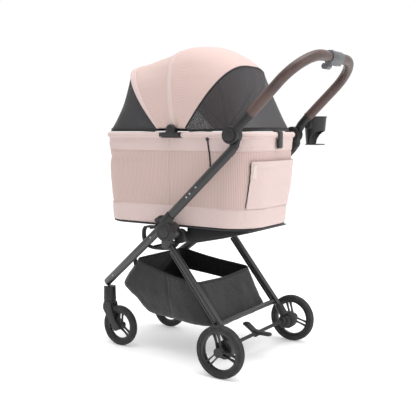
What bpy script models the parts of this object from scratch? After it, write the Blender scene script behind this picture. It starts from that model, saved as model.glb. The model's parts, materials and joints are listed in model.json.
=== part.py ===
"""A four-wheeled pet stroller with a removable carrier: folding frame, castors, brake, canopy and cup holder.

Every shape is written in the stroller's own frame: X across (left side positive), Y along (front negative,
0 at the rear axle), Z up from the ground, in metres. The empty "stroller" then moves the lot so that the
world origin is at the middle of the bounding box, on the ground.
"""

import math

import bmesh
import bpy
from mathutils import Matrix, Vector

SIDES = (("left", 1), ("right", -1))
GAP = 0.0004  # between pieces that touch

# Place of the stroller's own frame in the world: the cup holder makes the box lopsided across
MID_X = 0.02525
MID_Y = 0.1556

# Wheels
REAR_WHEEL = dict(x=0.2635, y=0.0, radius=0.090, width=0.028, phase=105)
FRONT_WHEEL = dict(x=0.158, y=-0.5215, radius=0.077, width=0.024, phase=85)
TYRE_DEPTH = 0.017
RIM_DEPTH = 0.012
AXLE_RADIUS = 0.0045
SPOKE_PAIRS = 3

# Frame tubes and the pivots seen from the side, as (Y, Z)
TUBE = 0.0125
OVAL_DEEP = 0.0160
OVAL_WIDE = 0.0103
HUB = (-0.237, 0.473)
HUB_RADIUS = 0.0345
REAR_PIVOT = (-0.252, 0.425)
REAR_LEG_X = 0.204
REAR_LEG_FOOT = (-0.030, 0.150)
CROSS_TUBE = (-0.047, 0.163)
BRAKE_AXIS = (0.0, 0.096)
FRONT_LEG_TOP = Vector((0.2180, -0.262, 0.4920))
FRONT_LEG_ELBOW = Vector((0.1580, -0.587, 0.2370))
CASTOR_X = 0.158
CASTOR_Y = -0.573
CASTOR_TOP = 0.238
CASTOR_SPLIT = 0.172
PUSH_BOTTOM = Vector((0.2455, -0.2400, 0.5065))
PUSH_TOP = Vector((0.2220, 0.0170, 0.7565))
HANDLE_HINGE = (0.017, 0.806)
HINGE_RADIUS = 0.030
GRIP_RADIUS = 0.0172
HANDLE_START = (0.0587, 0.8517)
HANDLE_SLOPE = 44.1
HANDLE_REACH = 0.297
HANDLE_CORNER = 0.126
HANDLE_HALF = 0.215

# Carrier: outline half width and ends at the rim and at the base, corner radii, heights
RIM_Z = 0.806
RIM_RADIUS = 0.0095
BASE_Z = 0.4885
TOP_OUTLINE = dict(half=0.1855, front=-0.583, rear=0.073, r_front=0.085, r_rear=0.112)
BOTTOM_OUTLINE = dict(half=0.174, front=-0.579, rear=0.052, r_front=0.085, r_rear=0.112)
WALL = 0.003
CANOPY_PIVOT = (-0.247, 0.824)

# Canopy arches: foot Y, lean from upright in degrees (back positive), rise, squareness
FRONT_ARCH = (-0.311, -42.6, 0.322, 2.19)
VALLEY_ARCH = (-0.280, -26.0, 0.286, 2.60)
MIDDLE_ARCH = (-0.245, -9.3, 0.287, 3.10)
CROWN_ARCH = (-0.231, 6.0, 0.297, 3.00)
BACK_ARCH = (-0.214, 22.0, 0.289, 2.95)
REAR_ARCH = (-0.198, 36.0, 0.271, 2.95)
ARCH_HALF = 0.186
ARCH_FOOT_Z = 0.824
ARCH_LIFT = 0.0055
MESH_FOOT_Z = 0.8212


def clear_scene():
    for obj in list(bpy.data.objects):
        bpy.data.objects.remove(obj, do_unlink=True)


# ---------------------------------------------------------------- materials

def material(name, colour, roughness, metallic=0.0):
    made = bpy.data.materials.new(name)
    made.use_nodes = True
    shader = made.node_tree.nodes["Principled BSDF"]
    shader.inputs["Base Color"].default_value = (*colour, 1.0)
    shader.inputs["Roughness"].default_value = roughness
    shader.inputs["Metallic"].default_value = metallic
    return made


def make_materials():
    return {
        "frame": material("frame_black", (0.022, 0.022, 0.024), 0.38, 0.6),
        "plastic": material("plastic_black", (0.018, 0.018, 0.019), 0.50),
        "grey": material("plastic_grey", (0.10, 0.10, 0.11), 0.45),
        "tyre": material("tyre_black", (0.030, 0.029, 0.029), 0.80),
        "leather": material("leather_brown", (0.060, 0.036, 0.032), 0.45),
        "fabric": material("fabric_pink", (0.56, 0.40, 0.36), 0.90),
        "basket": material("fabric_black", (0.020, 0.019, 0.021), 0.92),
        "mesh": material("mesh_grey", (0.045, 0.043, 0.048), 0.85),
    }


# ---------------------------------------------------------------- mesh making

def object_from(name, bm, slot, smooth=35.0):
    """Closes a bmesh into an object with outward faces and smooth round sides."""
    bmesh.ops.recalc_face_normals(bm, faces=bm.faces)
    if bm.calc_volume(signed=True) < 0:
        bmesh.ops.reverse_faces(bm, faces=bm.faces)
    mesh = bpy.data.meshes.new(name)
    bm.to_mesh(mesh)
    bm.free()
    mesh.shade_smooth()
    mesh.set_sharp_from_angle(angle=math.radians(smooth))
    mesh.materials.append(MATERIALS[slot])
    made = bpy.data.objects.new(name, mesh)
    bpy.context.scene.collection.objects.link(made)
    return made


def skin_rings(bm, rings, closed=False, caps=True):
    """Faces between successive rings of vertices; a ring of one vertex is a pole."""
    count = len(rings) if closed else len(rings) - 1
    for i in range(count):
        a, b = rings[i], rings[(i + 1) % len(rings)]
        n = max(len(a), len(b))
        for j in range(n):
            k = (j + 1) % n
            if len(a) == 1:
                bm.faces.new((a[0], b[j], b[k]))
            elif len(b) == 1:
                bm.faces.new((a[j], b[0], a[k]))
            else:
                bm.faces.new((a[j], b[j], b[k], a[k]))
    if caps and not closed:
        for ring in (rings[0], rings[-1]):
            if len(ring) > 2:
                bm.faces.new(ring)


def lathe(name, profile, centre, axis, slot, segments=16, ring=False):
    """Solid of revolution. profile: (along the axis, radius) points; ring closes it on itself."""
    turn = {"X": Matrix.Rotation(math.radians(90), 4, "Y"), "Y": Matrix.Rotation(math.radians(-90), 4, "X"),
            "Z": Matrix.Identity(4)}[axis]
    place = Matrix.Translation(centre) @ turn
    bm = bmesh.new()
    rings = []
    for along, radius in profile:
        if radius < 1e-6:
            rings.append([bm.verts.new(place @ Vector((0, 0, along)))])
            continue
        angles = [2 * math.pi * k / segments for k in range(segments)]
        rings.append([bm.verts.new(place @ Vector((radius * math.cos(a), radius * math.sin(a), along)))
                      for a in angles])
    skin_rings(bm, rings, closed=ring)
    return object_from(name, bm, slot)


def disc(name, x0, x1, centre_yz, radius, slot, edge=0.0015, segments=16):
    """Disc across the stroller between x0 and x1, with chamfered edges unless edge is 0."""
    low, high = min(x0, x1), max(x0, x1)
    profile = [(low, radius), (high, radius)]
    if edge:
        profile = [(low, radius - edge), (low + edge, radius), (high - edge, radius), (high, radius - edge)]
    return lathe(name, profile, (0, *centre_yz), "X", slot, segments)


def smooth_path(points, steps):
    """Catmull-Rom curve through the points."""
    pts = [Vector(p) for p in points]
    pts = [2 * pts[0] - pts[1]] + pts + [2 * pts[-1] - pts[-2]]
    out = []
    for i in range(1, len(pts) - 2):
        a, b, c, d = pts[i - 1:i + 3]
        for k in range(steps):
            t = k / steps
            out.append(0.5 * (2 * b + (c - a) * t + (2 * a - 5 * b + 4 * c - d) * t * t
                              + (3 * b - a - 3 * c + d) * t ** 3))
    return out + [pts[-2]]


def rounded_corner(before, corner, after, radius, steps=6):
    """Points of the arc that rounds a corner of a path."""
    before, corner, after = Vector(before), Vector(corner), Vector(after)
    one, two = (before - corner).normalized(), (after - corner).normalized()
    half = one.angle(two) / 2
    reach = radius / math.tan(half)
    middle = corner + (one + two).normalized() * radius / math.sin(half)
    start, end = corner + one * reach - middle, corner + two * reach - middle
    sweep = start.angle(end)
    axis = start.cross(end).normalized()
    return [middle + Matrix.Rotation(sweep * k / steps, 3, axis) @ start for k in range(steps + 1)]


def sweep(name, path, section, slot, closed=False, up=(1, 0, 0)):
    """Sweeps a closed section of (side, up) points along a path; up is the section's second direction."""
    path = [Vector(p) for p in path]
    up = Vector(up)
    bm = bmesh.new()
    rings = []
    for i, point in enumerate(path):
        if closed:
            tangent = path[(i + 1) % len(path)] - path[i - 1]
        else:
            tangent = path[min(i + 1, len(path) - 1)] - path[max(i - 1, 0)]
        tangent.normalize()
        side = tangent.cross(up).normalized()
        lift = side.cross(tangent).normalized()
        rings.append([bm.verts.new(point + side * s + lift * u) for s, u in section])
    skin_rings(bm, rings, closed=closed)
    return object_from(name, bm, slot)


def round_section(radius, other=None, sides=12):
    other = other or radius
    return [(radius * math.cos(2 * math.pi * k / sides), other * math.sin(2 * math.pi * k / sides))
            for k in range(sides)]


def flat_section(width, thickness, edge=0.0012):
    a, b = width / 2, thickness / 2
    return [(-a, -b + edge), (-a + edge, -b), (a - edge, -b), (a, -b + edge),
            (a, b - edge), (a - edge, b), (-a + edge, b), (-a, b - edge)]


def prism(name, outline, x0, x1, slot):
    """Extrudes an outline of (Y, Z) points from x0 to x1."""
    bm = bmesh.new()
    rings = [[bm.verts.new((x, y, z)) for y, z in outline] for x in (x0, x1)]
    skin_rings(bm, rings)
    return object_from(name, bm, slot)


def box(name, low, high, slot, bevel=0.0015):
    bm = bmesh.new()
    bmesh.ops.create_cube(bm, size=1.0)
    for v in bm.verts:
        v.co = Vector([low[i] + (v.co[i] + 0.5) * (high[i] - low[i]) for i in range(3)])
    if bevel:
        bmesh.ops.bevel(bm, geom=bm.edges[:], offset=bevel, segments=1, affect="EDGES")
    return object_from(name, bm, slot)


def combine(base, others, operation="UNION"):
    """Joins the others to the base, or cuts them out of it, and removes them."""
    for other in others:
        step = base.modifiers.new("combine", "BOOLEAN")
        step.operation = operation
        step.solver = "MANIFOLD"
        step.object = other
        graph = bpy.context.evaluated_depsgraph_get()
        mesh = bpy.data.meshes.new_from_object(base.evaluated_get(graph))
        if not mesh.polygons:
            raise ValueError(f"{operation} of {base.name} and {other.name} left nothing")
        base.modifiers.clear()
        base.data = mesh
        bpy.data.objects.remove(other, do_unlink=True)
    return base


def cut(base, others):
    return combine(base, others, "DIFFERENCE")


def thick_sheet(name, rows, thickness, slot, inward=-1):
    """Closed sheet of a given thickness from a grid of points."""
    bm = bmesh.new()
    grid = [[bm.verts.new(p) for p in row] for row in rows]
    for a, b in zip(grid, grid[1:]):
        for j in range(len(a) - 1):
            bm.faces.new((a[j], b[j], b[j + 1], a[j + 1]))
    mesh = bpy.data.meshes.new(name)
    bm.to_mesh(mesh)
    bm.free()
    sheet = bpy.data.objects.new(name, mesh)
    bpy.context.scene.collection.objects.link(sheet)
    mesh.materials.append(MATERIALS[slot])
    mesh.shade_smooth()
    solid = sheet.modifiers.new("thickness", "SOLIDIFY")
    solid.thickness = thickness
    solid.offset = inward
    solid.use_even_offset = True
    return sheet


# ---------------------------------------------------------------- bodies

def empty(name, location, parent=None):
    made = bpy.data.objects.new(name, None)
    bpy.context.scene.collection.objects.link(made)
    made.location = location
    if parent:
        made.parent = parent
        made.matrix_parent_inverse = Matrix.Translation(-Vector(AXES[parent.name]))
    AXES[name] = Vector(location)
    return made


def attach(parent, *objects):
    """Parents objects to a body's empty and leaves them where they are."""
    for obj in objects:
        obj.parent = parent
        obj.matrix_parent_inverse = Matrix.Translation(-AXES[parent.name])


def mirror_x(point, side):
    return Vector((point[0] * side, point[1], point[2]))


# ---------------------------------------------------------------- wheels

def tyre(name, wheel, x):
    half, r = wheel["width"] / 2, wheel["radius"]
    inner = r - TYRE_DEPTH
    profile = [(-half + 0.001, inner), (-half, r - 0.006), (-half + 0.0025, r - 0.002), (-half + 0.007, r),
               (half - 0.007, r), (half - 0.0025, r - 0.002), (half, r - 0.006), (half - 0.001, inner)]
    return lathe(name, profile, (x, wheel["y"], r), "X", "tyre", 28, ring=True)


def rim(name, wheel, x, side, capped):
    """Rim ring, pairs of spokes and a hub barrel; a capped hub is blind on the outside."""
    r = wheel["radius"] - TYRE_DEPTH - GAP
    half = wheel["width"] / 2 - 0.003
    centre = (x, wheel["y"], wheel["radius"])
    ring = lathe(name, [(-half, r - RIM_DEPTH * 0.75), (-half, r), (half, r), (half, r - RIM_DEPTH * 0.75),
                        (0, r - RIM_DEPTH)], centre, "X", "plastic", 28, ring=True)
    inner, outer = x - (half + 0.001) * side, x + (half + 0.001) * side
    hub = [disc("barrel", inner, outer, centre[1:], 0.0150, "plastic")]
    if capped:
        hub.append(disc("cap", outer - 0.003 * side, outer + 0.006 * side, centre[1:], 0.0170, "plastic",
                        edge=0.0022, segments=12))
    for k in range(SPOKE_PAIRS):
        turn = Matrix.Rotation(math.radians(wheel["phase"] + 360 * k / SPOKE_PAIRS), 4, "X")
        for offset in (-0.0068, 0.0068):
            spoke = box("spoke", (-half + 0.003, 0.010, offset - 0.0036),
                        (half - 0.003, r - RIM_DEPTH + 0.003, offset + 0.0036), "plastic", 0)
            spoke.data.transform(Matrix.Translation(centre) @ turn)
            hub.append(spoke)
    bore_end = outer - 0.002 * side if capped else outer + 0.02 * side
    bore = disc("bore", inner - 0.02 * side, bore_end, centre[1:], AXLE_RADIUS + GAP, "plastic", edge=0,
                segments=16)
    return cut(combine(ring, hub), [bore])


def make_wheel(name, wheel, side, parent, capped=False):
    x = wheel["x"] * side
    attach(parent, tyre(name + "_tyre", wheel, x), rim(name + "_rim", wheel, x, side, capped))


# ---------------------------------------------------------------- rear frame

def rear_leg(side, label):
    x = REAR_LEG_X * side
    top = Vector((x, *REAR_PIVOT))
    foot = Vector((x, *REAR_LEG_FOOT))
    along = (foot - top).normalized()
    leg = sweep("rear_leg_" + label, [top + along * 0.010, foot], round_section(0.0115, TUBE), "frame")
    eye = disc("eye", x - TUBE * side, x + TUBE * side, REAR_PIVOT, 0.0142, "frame")
    forward = Vector((0, -along.z, along.y)) * -1
    if forward.y > 0:
        forward = -forward
    rail = [top + along * 0.030 + forward * 0.016, foot - along * 0.012 + forward * 0.016]
    link = sweep("link", rail, flat_section(0.007, 0.010), "frame")
    ends = []
    for place in (0.034, (foot - top).length - 0.018):
        block = sweep("block", [top + along * (place - 0.006) + forward * 0.008,
                                top + along * (place + 0.006) + forward * 0.008],
                      flat_section(0.020, 0.009), "frame")
        ends.append(block)
    leg = combine(leg, [eye, link] + ends)
    pin_hole = disc("hole", x - 0.03, x + 0.03, REAR_PIVOT, 0.0055, "frame", edge=0, segments=16)
    tube_hole = disc("hole", x - 0.03, x + 0.03, CROSS_TUBE, 0.0095 + GAP, "frame", edge=0, segments=16)
    return cut(leg, [pin_hole, tube_hole])


def rear_foot(side, label):
    """Plastic sleeve at the end of the leg, with the axle housing and the wheel's stub axle."""
    x = REAR_LEG_X * side
    foot = Vector((x, *REAR_LEG_FOOT))
    along = (foot - Vector((x, *REAR_PIVOT))).normalized()
    start = foot + along * GAP
    neck = sweep("rear_foot_" + label, [start, start + along * 0.004, Vector((x, -0.004, 0.112))],
                 round_section(0.0155, 0.0165), "plastic")
    inner, outer = 0.188 * side, 0.2480 * side
    housing = disc("housing", inner, 0.214 * side, (0.0, REAR_WHEEL["radius"]), 0.0240, "plastic", edge=0.003)
    drum = disc("drum", 0.210 * side, outer, (0.0, REAR_WHEEL["radius"]), 0.0320, "plastic", edge=0.005)
    tip = (REAR_WHEEL["x"] + REAR_WHEEL["width"] / 2 - 0.0055) * side
    stub = disc("stub", outer - 0.004 * side, tip, (0.0, REAR_WHEEL["radius"]), AXLE_RADIUS, "plastic",
                edge=0.0004, segments=16)
    collar = disc("collar", 0.170 * side, inner + 0.004 * side, BRAKE_AXIS, 0.0130, "plastic")
    made = combine(neck, [housing, drum, stub, collar])
    rod_hole = disc("hole", 0.150 * side, 0.182 * side, BRAKE_AXIS, 0.0066 + GAP, "plastic",
                    edge=0, segments=16)
    return cut(made, [rod_hole])


def rear_cross_tube():
    x = REAR_LEG_X - 0.002
    return disc("rear_cross_tube", -x, x, CROSS_TUBE, 0.0095, "frame", edge=0.0005, segments=16)


def brake_pedal():
    """Brake rod with its clamp and two foot lobes, which rocks about the rod."""
    y, z = BRAKE_AXIS
    rod = disc("brake_pedal", -0.181, 0.181, BRAKE_AXIS, 0.0066, "plastic", segments=16)
    clamp = disc("clamp", 0.012, 0.034, BRAKE_AXIS, 0.0125, "plastic")
    lobes = []
    for sign, rise in ((-1, 0.026), (1, 0.001)):
        path = [(0.022, y + sign * 0.003, z + 0.002), (0.020, y + sign * 0.024, z + 0.002 + rise * 0.55),
                (0.015, y + sign * 0.044, z + rise)]
        lobe = sweep("lobe", smooth_path(path, 2), flat_section(0.0280, 0.0100, 0.003), "plastic", up=(0, 0, 1))
        tip = lathe("tip", [(-0.0055, 0.0100), (-0.0025, 0.0142), (0.0025, 0.0142), (0.0055, 0.0100)], path[-1],
                    "Z", "plastic", 14)
        lobes += [lobe, tip]
    return combine(rod, [clamp] + lobes)


# ---------------------------------------------------------------- front frame

def front_leg_path(side):
    return [mirror_x(FRONT_LEG_TOP, side), mirror_x(FRONT_LEG_ELBOW, side)]


def front_leg(side, label):
    """Oval front leg tube with the hub boss, and the ear and pin that carry the rear leg."""
    leg = sweep("front_leg_" + label, front_leg_path(side), round_section(OVAL_DEEP, OVAL_WIDE, 14), "frame")
    boss = disc("boss", 0.2025 * side, 0.2288 * side, HUB, 0.0330, "frame")
    ear_outline = []
    for centre, radius, start, end in ((HUB, 0.030, -20, 200), (REAR_PIVOT, 0.0175, 180, 350)):
        for k in range(9):
            a = math.radians(start + (end - start) * k / 8)
            ear_outline.append((centre[0] + radius * math.cos(a), centre[1] + radius * math.sin(a)))
    ear = prism("ear", ear_outline, 0.2175 * side, 0.2280 * side, "frame")
    pin = disc("pin", 0.1870 * side, 0.2200 * side, REAR_PIVOT, 0.0050, "frame", edge=0.0005, segments=16)
    return combine(leg, [boss, ear, pin])


def castor_head(side, label):
    """Fixed housing under the leg's end, in which the castor swivels."""
    x = CASTOR_X * side
    profile = [(CASTOR_SPLIT, 0.0), (CASTOR_SPLIT, 0.0235), (CASTOR_SPLIT + 0.005, 0.0245),
               (CASTOR_SPLIT + 0.014, 0.0234), (CASTOR_TOP, 0.0226), (CASTOR_TOP, 0.0)]
    head = lathe("castor_head_" + label, profile, (x, CASTOR_Y, 0), "Z", "plastic", 24)
    stem_hole = lathe("hole", [(0.160, 0), (0.160, 0.0064), (0.205, 0.0064), (0.205, 0)],
                      (x, CASTOR_Y, 0), "Z", "plastic", 16)
    ends = front_leg_path(side)
    beyond = ends[1] + (ends[1] - ends[0]).normalized() * 0.03
    leg_space = sweep("space", [ends[0], beyond], round_section(OVAL_DEEP + GAP, OVAL_WIDE + GAP, 14), "frame")
    above = box("above", (x - 0.04, CASTOR_Y - 0.04, CASTOR_TOP - 0.013), (x + 0.04, CASTOR_Y + 0.04, 0.30),
                "frame", 0)
    return cut(head, [stem_hole, combine(leg_space, [above])])


def castor_fork(side, label):
    """Swivelling fork: stem, crown, two arms and the wheel's axle."""
    x = CASTOR_X * side
    y, z = FRONT_WHEEL["y"], FRONT_WHEEL["radius"]
    crown = lathe("castor_fork_" + label, [(0.1560, 0.0), (0.1560, 0.0205), (0.1600, 0.0230), (0.1690, 0.0235),
                                           (0.1712, 0.0225), (0.1712, 0.0)], (x, CASTOR_Y, 0), "Z", "plastic", 24)
    stem = lathe("stem", [(0.166, 0), (0.166, 0.0060), (0.200, 0.0060), (0.200, 0)], (x, CASTOR_Y, 0), "Z",
                 "plastic", 16)
    outline = [(CASTOR_Y - 0.0165, 0.1640), (CASTOR_Y - 0.0205, 0.1500), (CASTOR_Y - 0.0190, 0.1340),
               (CASTOR_Y - 0.0050, 0.1120), (y - 0.0330, 0.0790), (y - 0.0250, 0.0640), (y - 0.0100, 0.0560),
               (y + 0.0080, 0.0640), (y + 0.0110, 0.0780), (y - 0.0020, 0.0860), (y - 0.0160, 0.1000),
               (CASTOR_Y + 0.0245, 0.1340), (CASTOR_Y + 0.0200, 0.1640)]
    arms = [prism("arm", outline, x + lean * 0.0132, x + lean * 0.0188, "plastic") for lean in (-1, 1)]
    bridge = box("bridge", (x - 0.0180, CASTOR_Y - 0.0150, 0.1565), (x + 0.0180, CASTOR_Y + 0.0180, 0.1620),
                 "plastic", 0)
    pin = disc("pin", x - 0.0215, x + 0.0215, (y, z), AXLE_RADIUS, "plastic", edge=0, segments=16)
    heads = [disc("head", x + s * 0.0180, x + s * 0.0225, (y, z), 0.0085, "plastic", segments=16) for s in (-1, 1)]
    return combine(crown, [stem, bridge] + arms + [pin] + heads)


def swivel_lock(side, label):
    """Small lever on the front of the fork that locks the castor straight."""
    x = CASTOR_X * side
    outline = [(CASTOR_Y - 0.0196, 0.1350), (CASTOR_Y - 0.0210, 0.1500), (CASTOR_Y - 0.0230, 0.1520),
               (CASTOR_Y - 0.0310, 0.1370), (CASTOR_Y - 0.0290, 0.1310)]
    return prism("swivel_lock_" + label, outline, x - 0.0080, x + 0.0080, "plastic")


# ---------------------------------------------------------------- cradle between the hubs

def carrier_cradle():
    """Cross tubes and side loops, in one frame, that the carrier docks on."""
    tube = disc("carrier_cradle", -0.2021, 0.2021, (-0.240, 0.4485), 0.0100, "frame", segments=16)
    others = []
    for _, side in SIDES:
        others.append(disc("collar", 0.158 * side, 0.1815 * side, (-0.228, 0.4490), 0.0265, "plastic", edge=0.003))
        loop = [(-0.228, 0.4690), (-0.300, 0.4745), (-0.368, 0.4735), (-0.3845, 0.466), (-0.389, 0.446),
                (-0.384, 0.418), (-0.366, 0.402), (-0.330, 0.3960), (-0.262, 0.4010), (-0.236, 0.425)]
        path = smooth_path([(0.1745 * side, y, z) for y, z in loop], 2)
        others.append(sweep("loop", path, flat_section(0.0080, 0.0180), "plastic"))
    others.append(disc("lower_tube", -0.1700, 0.1700, (-0.345, 0.3985), 0.0070, "frame", segments=16))
    others.append(disc("upper_tube", -0.1700, 0.1700, (-0.362, 0.4690), 0.0065, "frame", segments=16))
    return combine(tube, others)


def seat_tray():
    outline = [(-0.2235, 0.4795), (-0.2235, 0.4280), (-0.2150, 0.4225), (-0.1780, 0.4240), (-0.0720, 0.4470),
               (0.0350, 0.4745), (0.0350, 0.4795)]
    return prism("seat_tray", outline, -0.1350, 0.1350, "basket")


def storage_basket():
    """Sagging shopping basket, open at the top, with a low side wall on the right for access."""
    outer = [(-0.4450, 0.3470), (-0.5250, 0.2420), (-0.4770, 0.2060), (-0.4280, 0.1500), (-0.3300, 0.1370),
             (-0.1150, 0.1350), (-0.0610, 0.1550), (-0.1420, 0.2800), (-0.2500, 0.3080), (-0.3500, 0.3260)]
    inner = [(-0.4400, 0.4000), (-0.4390, 0.3460), (-0.5180, 0.2430), (-0.4740, 0.2100), (-0.4250, 0.1550),
             (-0.3300, 0.1410), (-0.1200, 0.1390), (-0.0700, 0.1580), (-0.1520, 0.2780), (-0.1520, 0.4000)]
    half = 0.1830
    basket = prism("storage_basket", outer, -half, half, "basket")
    hollow = prism("hollow", inner, -half + 0.004, half - 0.004, "basket")
    window = [(-0.4550, 0.2450), (-0.4200, 0.1700), (-0.1350, 0.1600), (-0.1050, 0.1850), (-0.1450, 0.2150)]
    access = prism("access", window, -half - 0.01, -half + 0.01, "basket")
    basket = cut(basket, [hollow, access])
    for v in basket.data.vertices:
        v.co.x *= 1 - 0.18 * min(max((-0.350 - v.co.y) / 0.180, 0.0), 1.0)
    return basket


# ---------------------------------------------------------------- push frame

def push_hub(side, label):
    """Lower casting of the push frame: a disc over the hub boss with a socket for the tube."""
    along = (mirror_x(PUSH_TOP, side) - mirror_x(PUSH_BOTTOM, side)).normalized()
    start = mirror_x(PUSH_BOTTOM, side)
    made = disc("push_hub_" + label, 0.2298 * side, 0.2575 * side, HUB, HUB_RADIUS, "plastic", edge=0.003)
    socket = sweep("socket", [start - along * 0.012, start + along * 0.034], round_section(0.0185, 0.0125, 14),
                   "plastic")
    made = combine(made, [socket])
    recess = disc("recess", 0.2495 * side, 0.2700 * side, HUB, 0.0220, "plastic", edge=0)
    return cut(made, [recess])


def hub_button(side, label):
    return disc("hub_button_" + label, 0.2535 * side, 0.2590 * side, HUB, 0.0214, "plastic", edge=0.0012)


def fold_latch(side, label):
    """Latch block on the front top of the hub, clear of the front leg."""
    outline = [(-0.2620, 0.4975), (-0.2845, 0.5035), (-0.2850, 0.5130), (-0.2620, 0.5275), (-0.2560, 0.5270),
               (-0.2530, 0.5215)]
    block = prism("fold_latch_" + label, outline, 0.2300 * side, 0.2460 * side, "plastic")
    start = mirror_x(PUSH_BOTTOM, side)
    along = (mirror_x(PUSH_TOP, side) - start).normalized()
    hub_space = disc("space", 0.2100 * side, 0.2700 * side, HUB, HUB_RADIUS + GAP, "plastic", edge=0, segments=48)
    socket_space = sweep("space", [start - along * 0.020, start + along * 0.060], round_section(0.0189, 0.0129, 14),
                         "plastic")
    return cut(block, [hub_space, socket_space])


def push_tube(side, label):
    bottom, top = mirror_x(PUSH_BOTTOM, side), mirror_x(PUSH_TOP, side)
    along = (top - bottom).normalized()
    end = Vector((top.x, 0.0240, 0.7680))
    path = [bottom + along * (0.034 + GAP)] + rounded_corner(bottom, top, end, 0.050, 3) + [end]
    return sweep("push_tube_" + label, path, round_section(OVAL_DEEP, OVAL_WIDE, 14), "frame")


def hinge_base(side, label):
    """Lower half of the handle hinge, on the inner side, with the socket that takes the tube's end."""
    made = disc("hinge_base_" + label, 0.2030 * side, 0.2212 * side, HANDLE_HINGE, HINGE_RADIUS, "plastic")
    x = PUSH_TOP.x * side
    slope = (Vector((0, 0.0240, 0.7680)) - Vector((0, *PUSH_TOP.yz))).normalized()
    start = Vector((x, 0.0240, 0.7680)) + slope * GAP
    path = [start, start + slope * 0.006, Vector((x - 0.006 * side, 0.0280, 0.7950))]
    socket = sweep("socket", path, round_section(0.0172, 0.0125, 14), "plastic")
    made = combine(made, [socket])
    swing = disc("swing", 0.2216 * side, 0.2600 * side, HANDLE_HINGE, HINGE_RADIUS + 0.0012, "plastic",
                 edge=0, segments=40)
    return cut(made, [swing])


def handle_arm(side, label):
    """Upper half of the handle hinge with the arm that the handlebar plugs into."""
    made = disc("handle_arm_" + label, 0.2216 * side, 0.2400 * side, HANDLE_HINGE, HINGE_RADIUS, "plastic",
                edge=0.002)
    path = [(0.2270 * side, 0.0340, 0.8240), (0.2190 * side, 0.0500, 0.8430)]
    path += [handle_point(HANDLE_HALF * side, u) for u in (0.015, 0.027)]
    arm = sweep("arm", path, round_section(0.0160, 0.0150), "plastic")
    base = disc("base", 0.1900 * side, 0.2216 * side, HANDLE_HINGE, HINGE_RADIUS + 0.0012, "plastic", edge=0,
                segments=40)
    parts = [cut(arm, [base])]
    if side < 0:
        parts.append(box("bracket", (-0.2425, 0.0600, 0.8300), (-0.2280, 0.0840, 0.8560), "plastic"))
    made = combine(made, parts)
    recess = disc("recess", 0.2345 * side, 0.2600 * side, HANDLE_HINGE, 0.0210, "plastic", edge=0)
    return cut(made, [recess])


def hinge_button(side, label):
    return disc("hinge_button_" + label, 0.2385 * side, 0.2435 * side, HANDLE_HINGE, 0.0204, "plastic",
                edge=0.0012)


# ---------------------------------------------------------------- handle

def handle_bar():
    """U-shaped bar: two straight sides, wide corners and a straight cross grip, all in one sloping plane."""
    near = [(HANDLE_HALF, 0.0278), (HANDLE_HALF, 0.100)]
    middle_x, middle_u = HANDLE_HALF - HANDLE_CORNER, HANDLE_REACH - HANDLE_CORNER
    for k in range(9):
        a = math.radians(90 * k / 8)
        near.append((middle_x + HANDLE_CORNER * math.cos(a), middle_u + HANDLE_CORNER * math.sin(a)))
    far = [(-x, u) for x, u in reversed(near)]
    path = [handle_point(x, u) for x, u in near + far]
    tilt = math.radians(HANDLE_SLOPE)
    return sweep("handle_bar", path, round_section(GRIP_RADIUS, GRIP_RADIUS, 14), "leather",
                 up=(0, -math.sin(tilt), math.cos(tilt)))


def handle_point(x, u, lift=0.0):
    """Point of the handle's plane: u up its slope from the start of the bar, lift out of the plane."""
    tilt = math.radians(HANDLE_SLOPE)
    return Vector((x, HANDLE_START[0] + u * math.cos(tilt) - lift * math.sin(tilt),
                   HANDLE_START[1] + u * math.sin(tilt) + lift * math.cos(tilt)))


def grip_housing():
    """Grey clam shell round the middle of the handlebar, with openings for the button and the trigger."""
    centre = handle_point(0, HANDLE_REACH)
    y, z = centre.y, centre.z
    profile = [(-0.0450, 0.0178), (-0.0450, 0.0195), (-0.0420, 0.0208), (0.0420, 0.0208), (0.0450, 0.0195),
               (0.0450, 0.0178)]
    shell = lathe("grip_housing", profile, (0, y, z), "X", "grey", 24, ring=True)
    keel = prism("keel", [(y - 0.0140, z - 0.0130), (y - 0.0120, z - 0.0250), (y + 0.0060, z - 0.0262),
                          (y + 0.0120, z - 0.0150)], -0.0400, 0.0420, "grey")
    bar_space = disc("space", -0.0500, 0.0500, (y, z), 0.0178, "grey", edge=0)
    slot = box("slot", (0.0150, y - 0.0080, z + 0.0120), (0.0310, y + 0.0060, z + 0.0300), "grey", 0)
    pocket = box("pocket", (0.0055, y - 0.0300, z - 0.0300), (0.0365, y - 0.0040, z - 0.0170), "grey", 0)
    return cut(combine(shell, [keel]), [bar_space, slot, pocket])


def fold_trigger():
    """Squeeze lever under the grip; it swings about its rear edge."""
    centre = handle_point(0, HANDLE_REACH)
    y, z = centre.y, centre.z
    outline = [(y - 0.0046, z - 0.0215), (y - 0.0046, z - 0.0330), (y - 0.0140, z - 0.0400),
               (y - 0.0270, z - 0.0370), (y - 0.0300, z - 0.0280), (y - 0.0240, z - 0.0190), (y - 0.0180, z - 0.0195)]
    return prism("fold_trigger", outline, 0.0060, 0.0360, "grey")


def fold_button():
    """Slide button in the housing's slot that frees the trigger."""
    centre = handle_point(0, HANDLE_REACH)
    y, z = centre.y, centre.z
    return box("fold_button", (0.0155, y - 0.0070, z + 0.0182), (0.0250, y + 0.0050, z + 0.0224), "plastic", 0.0006)


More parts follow.
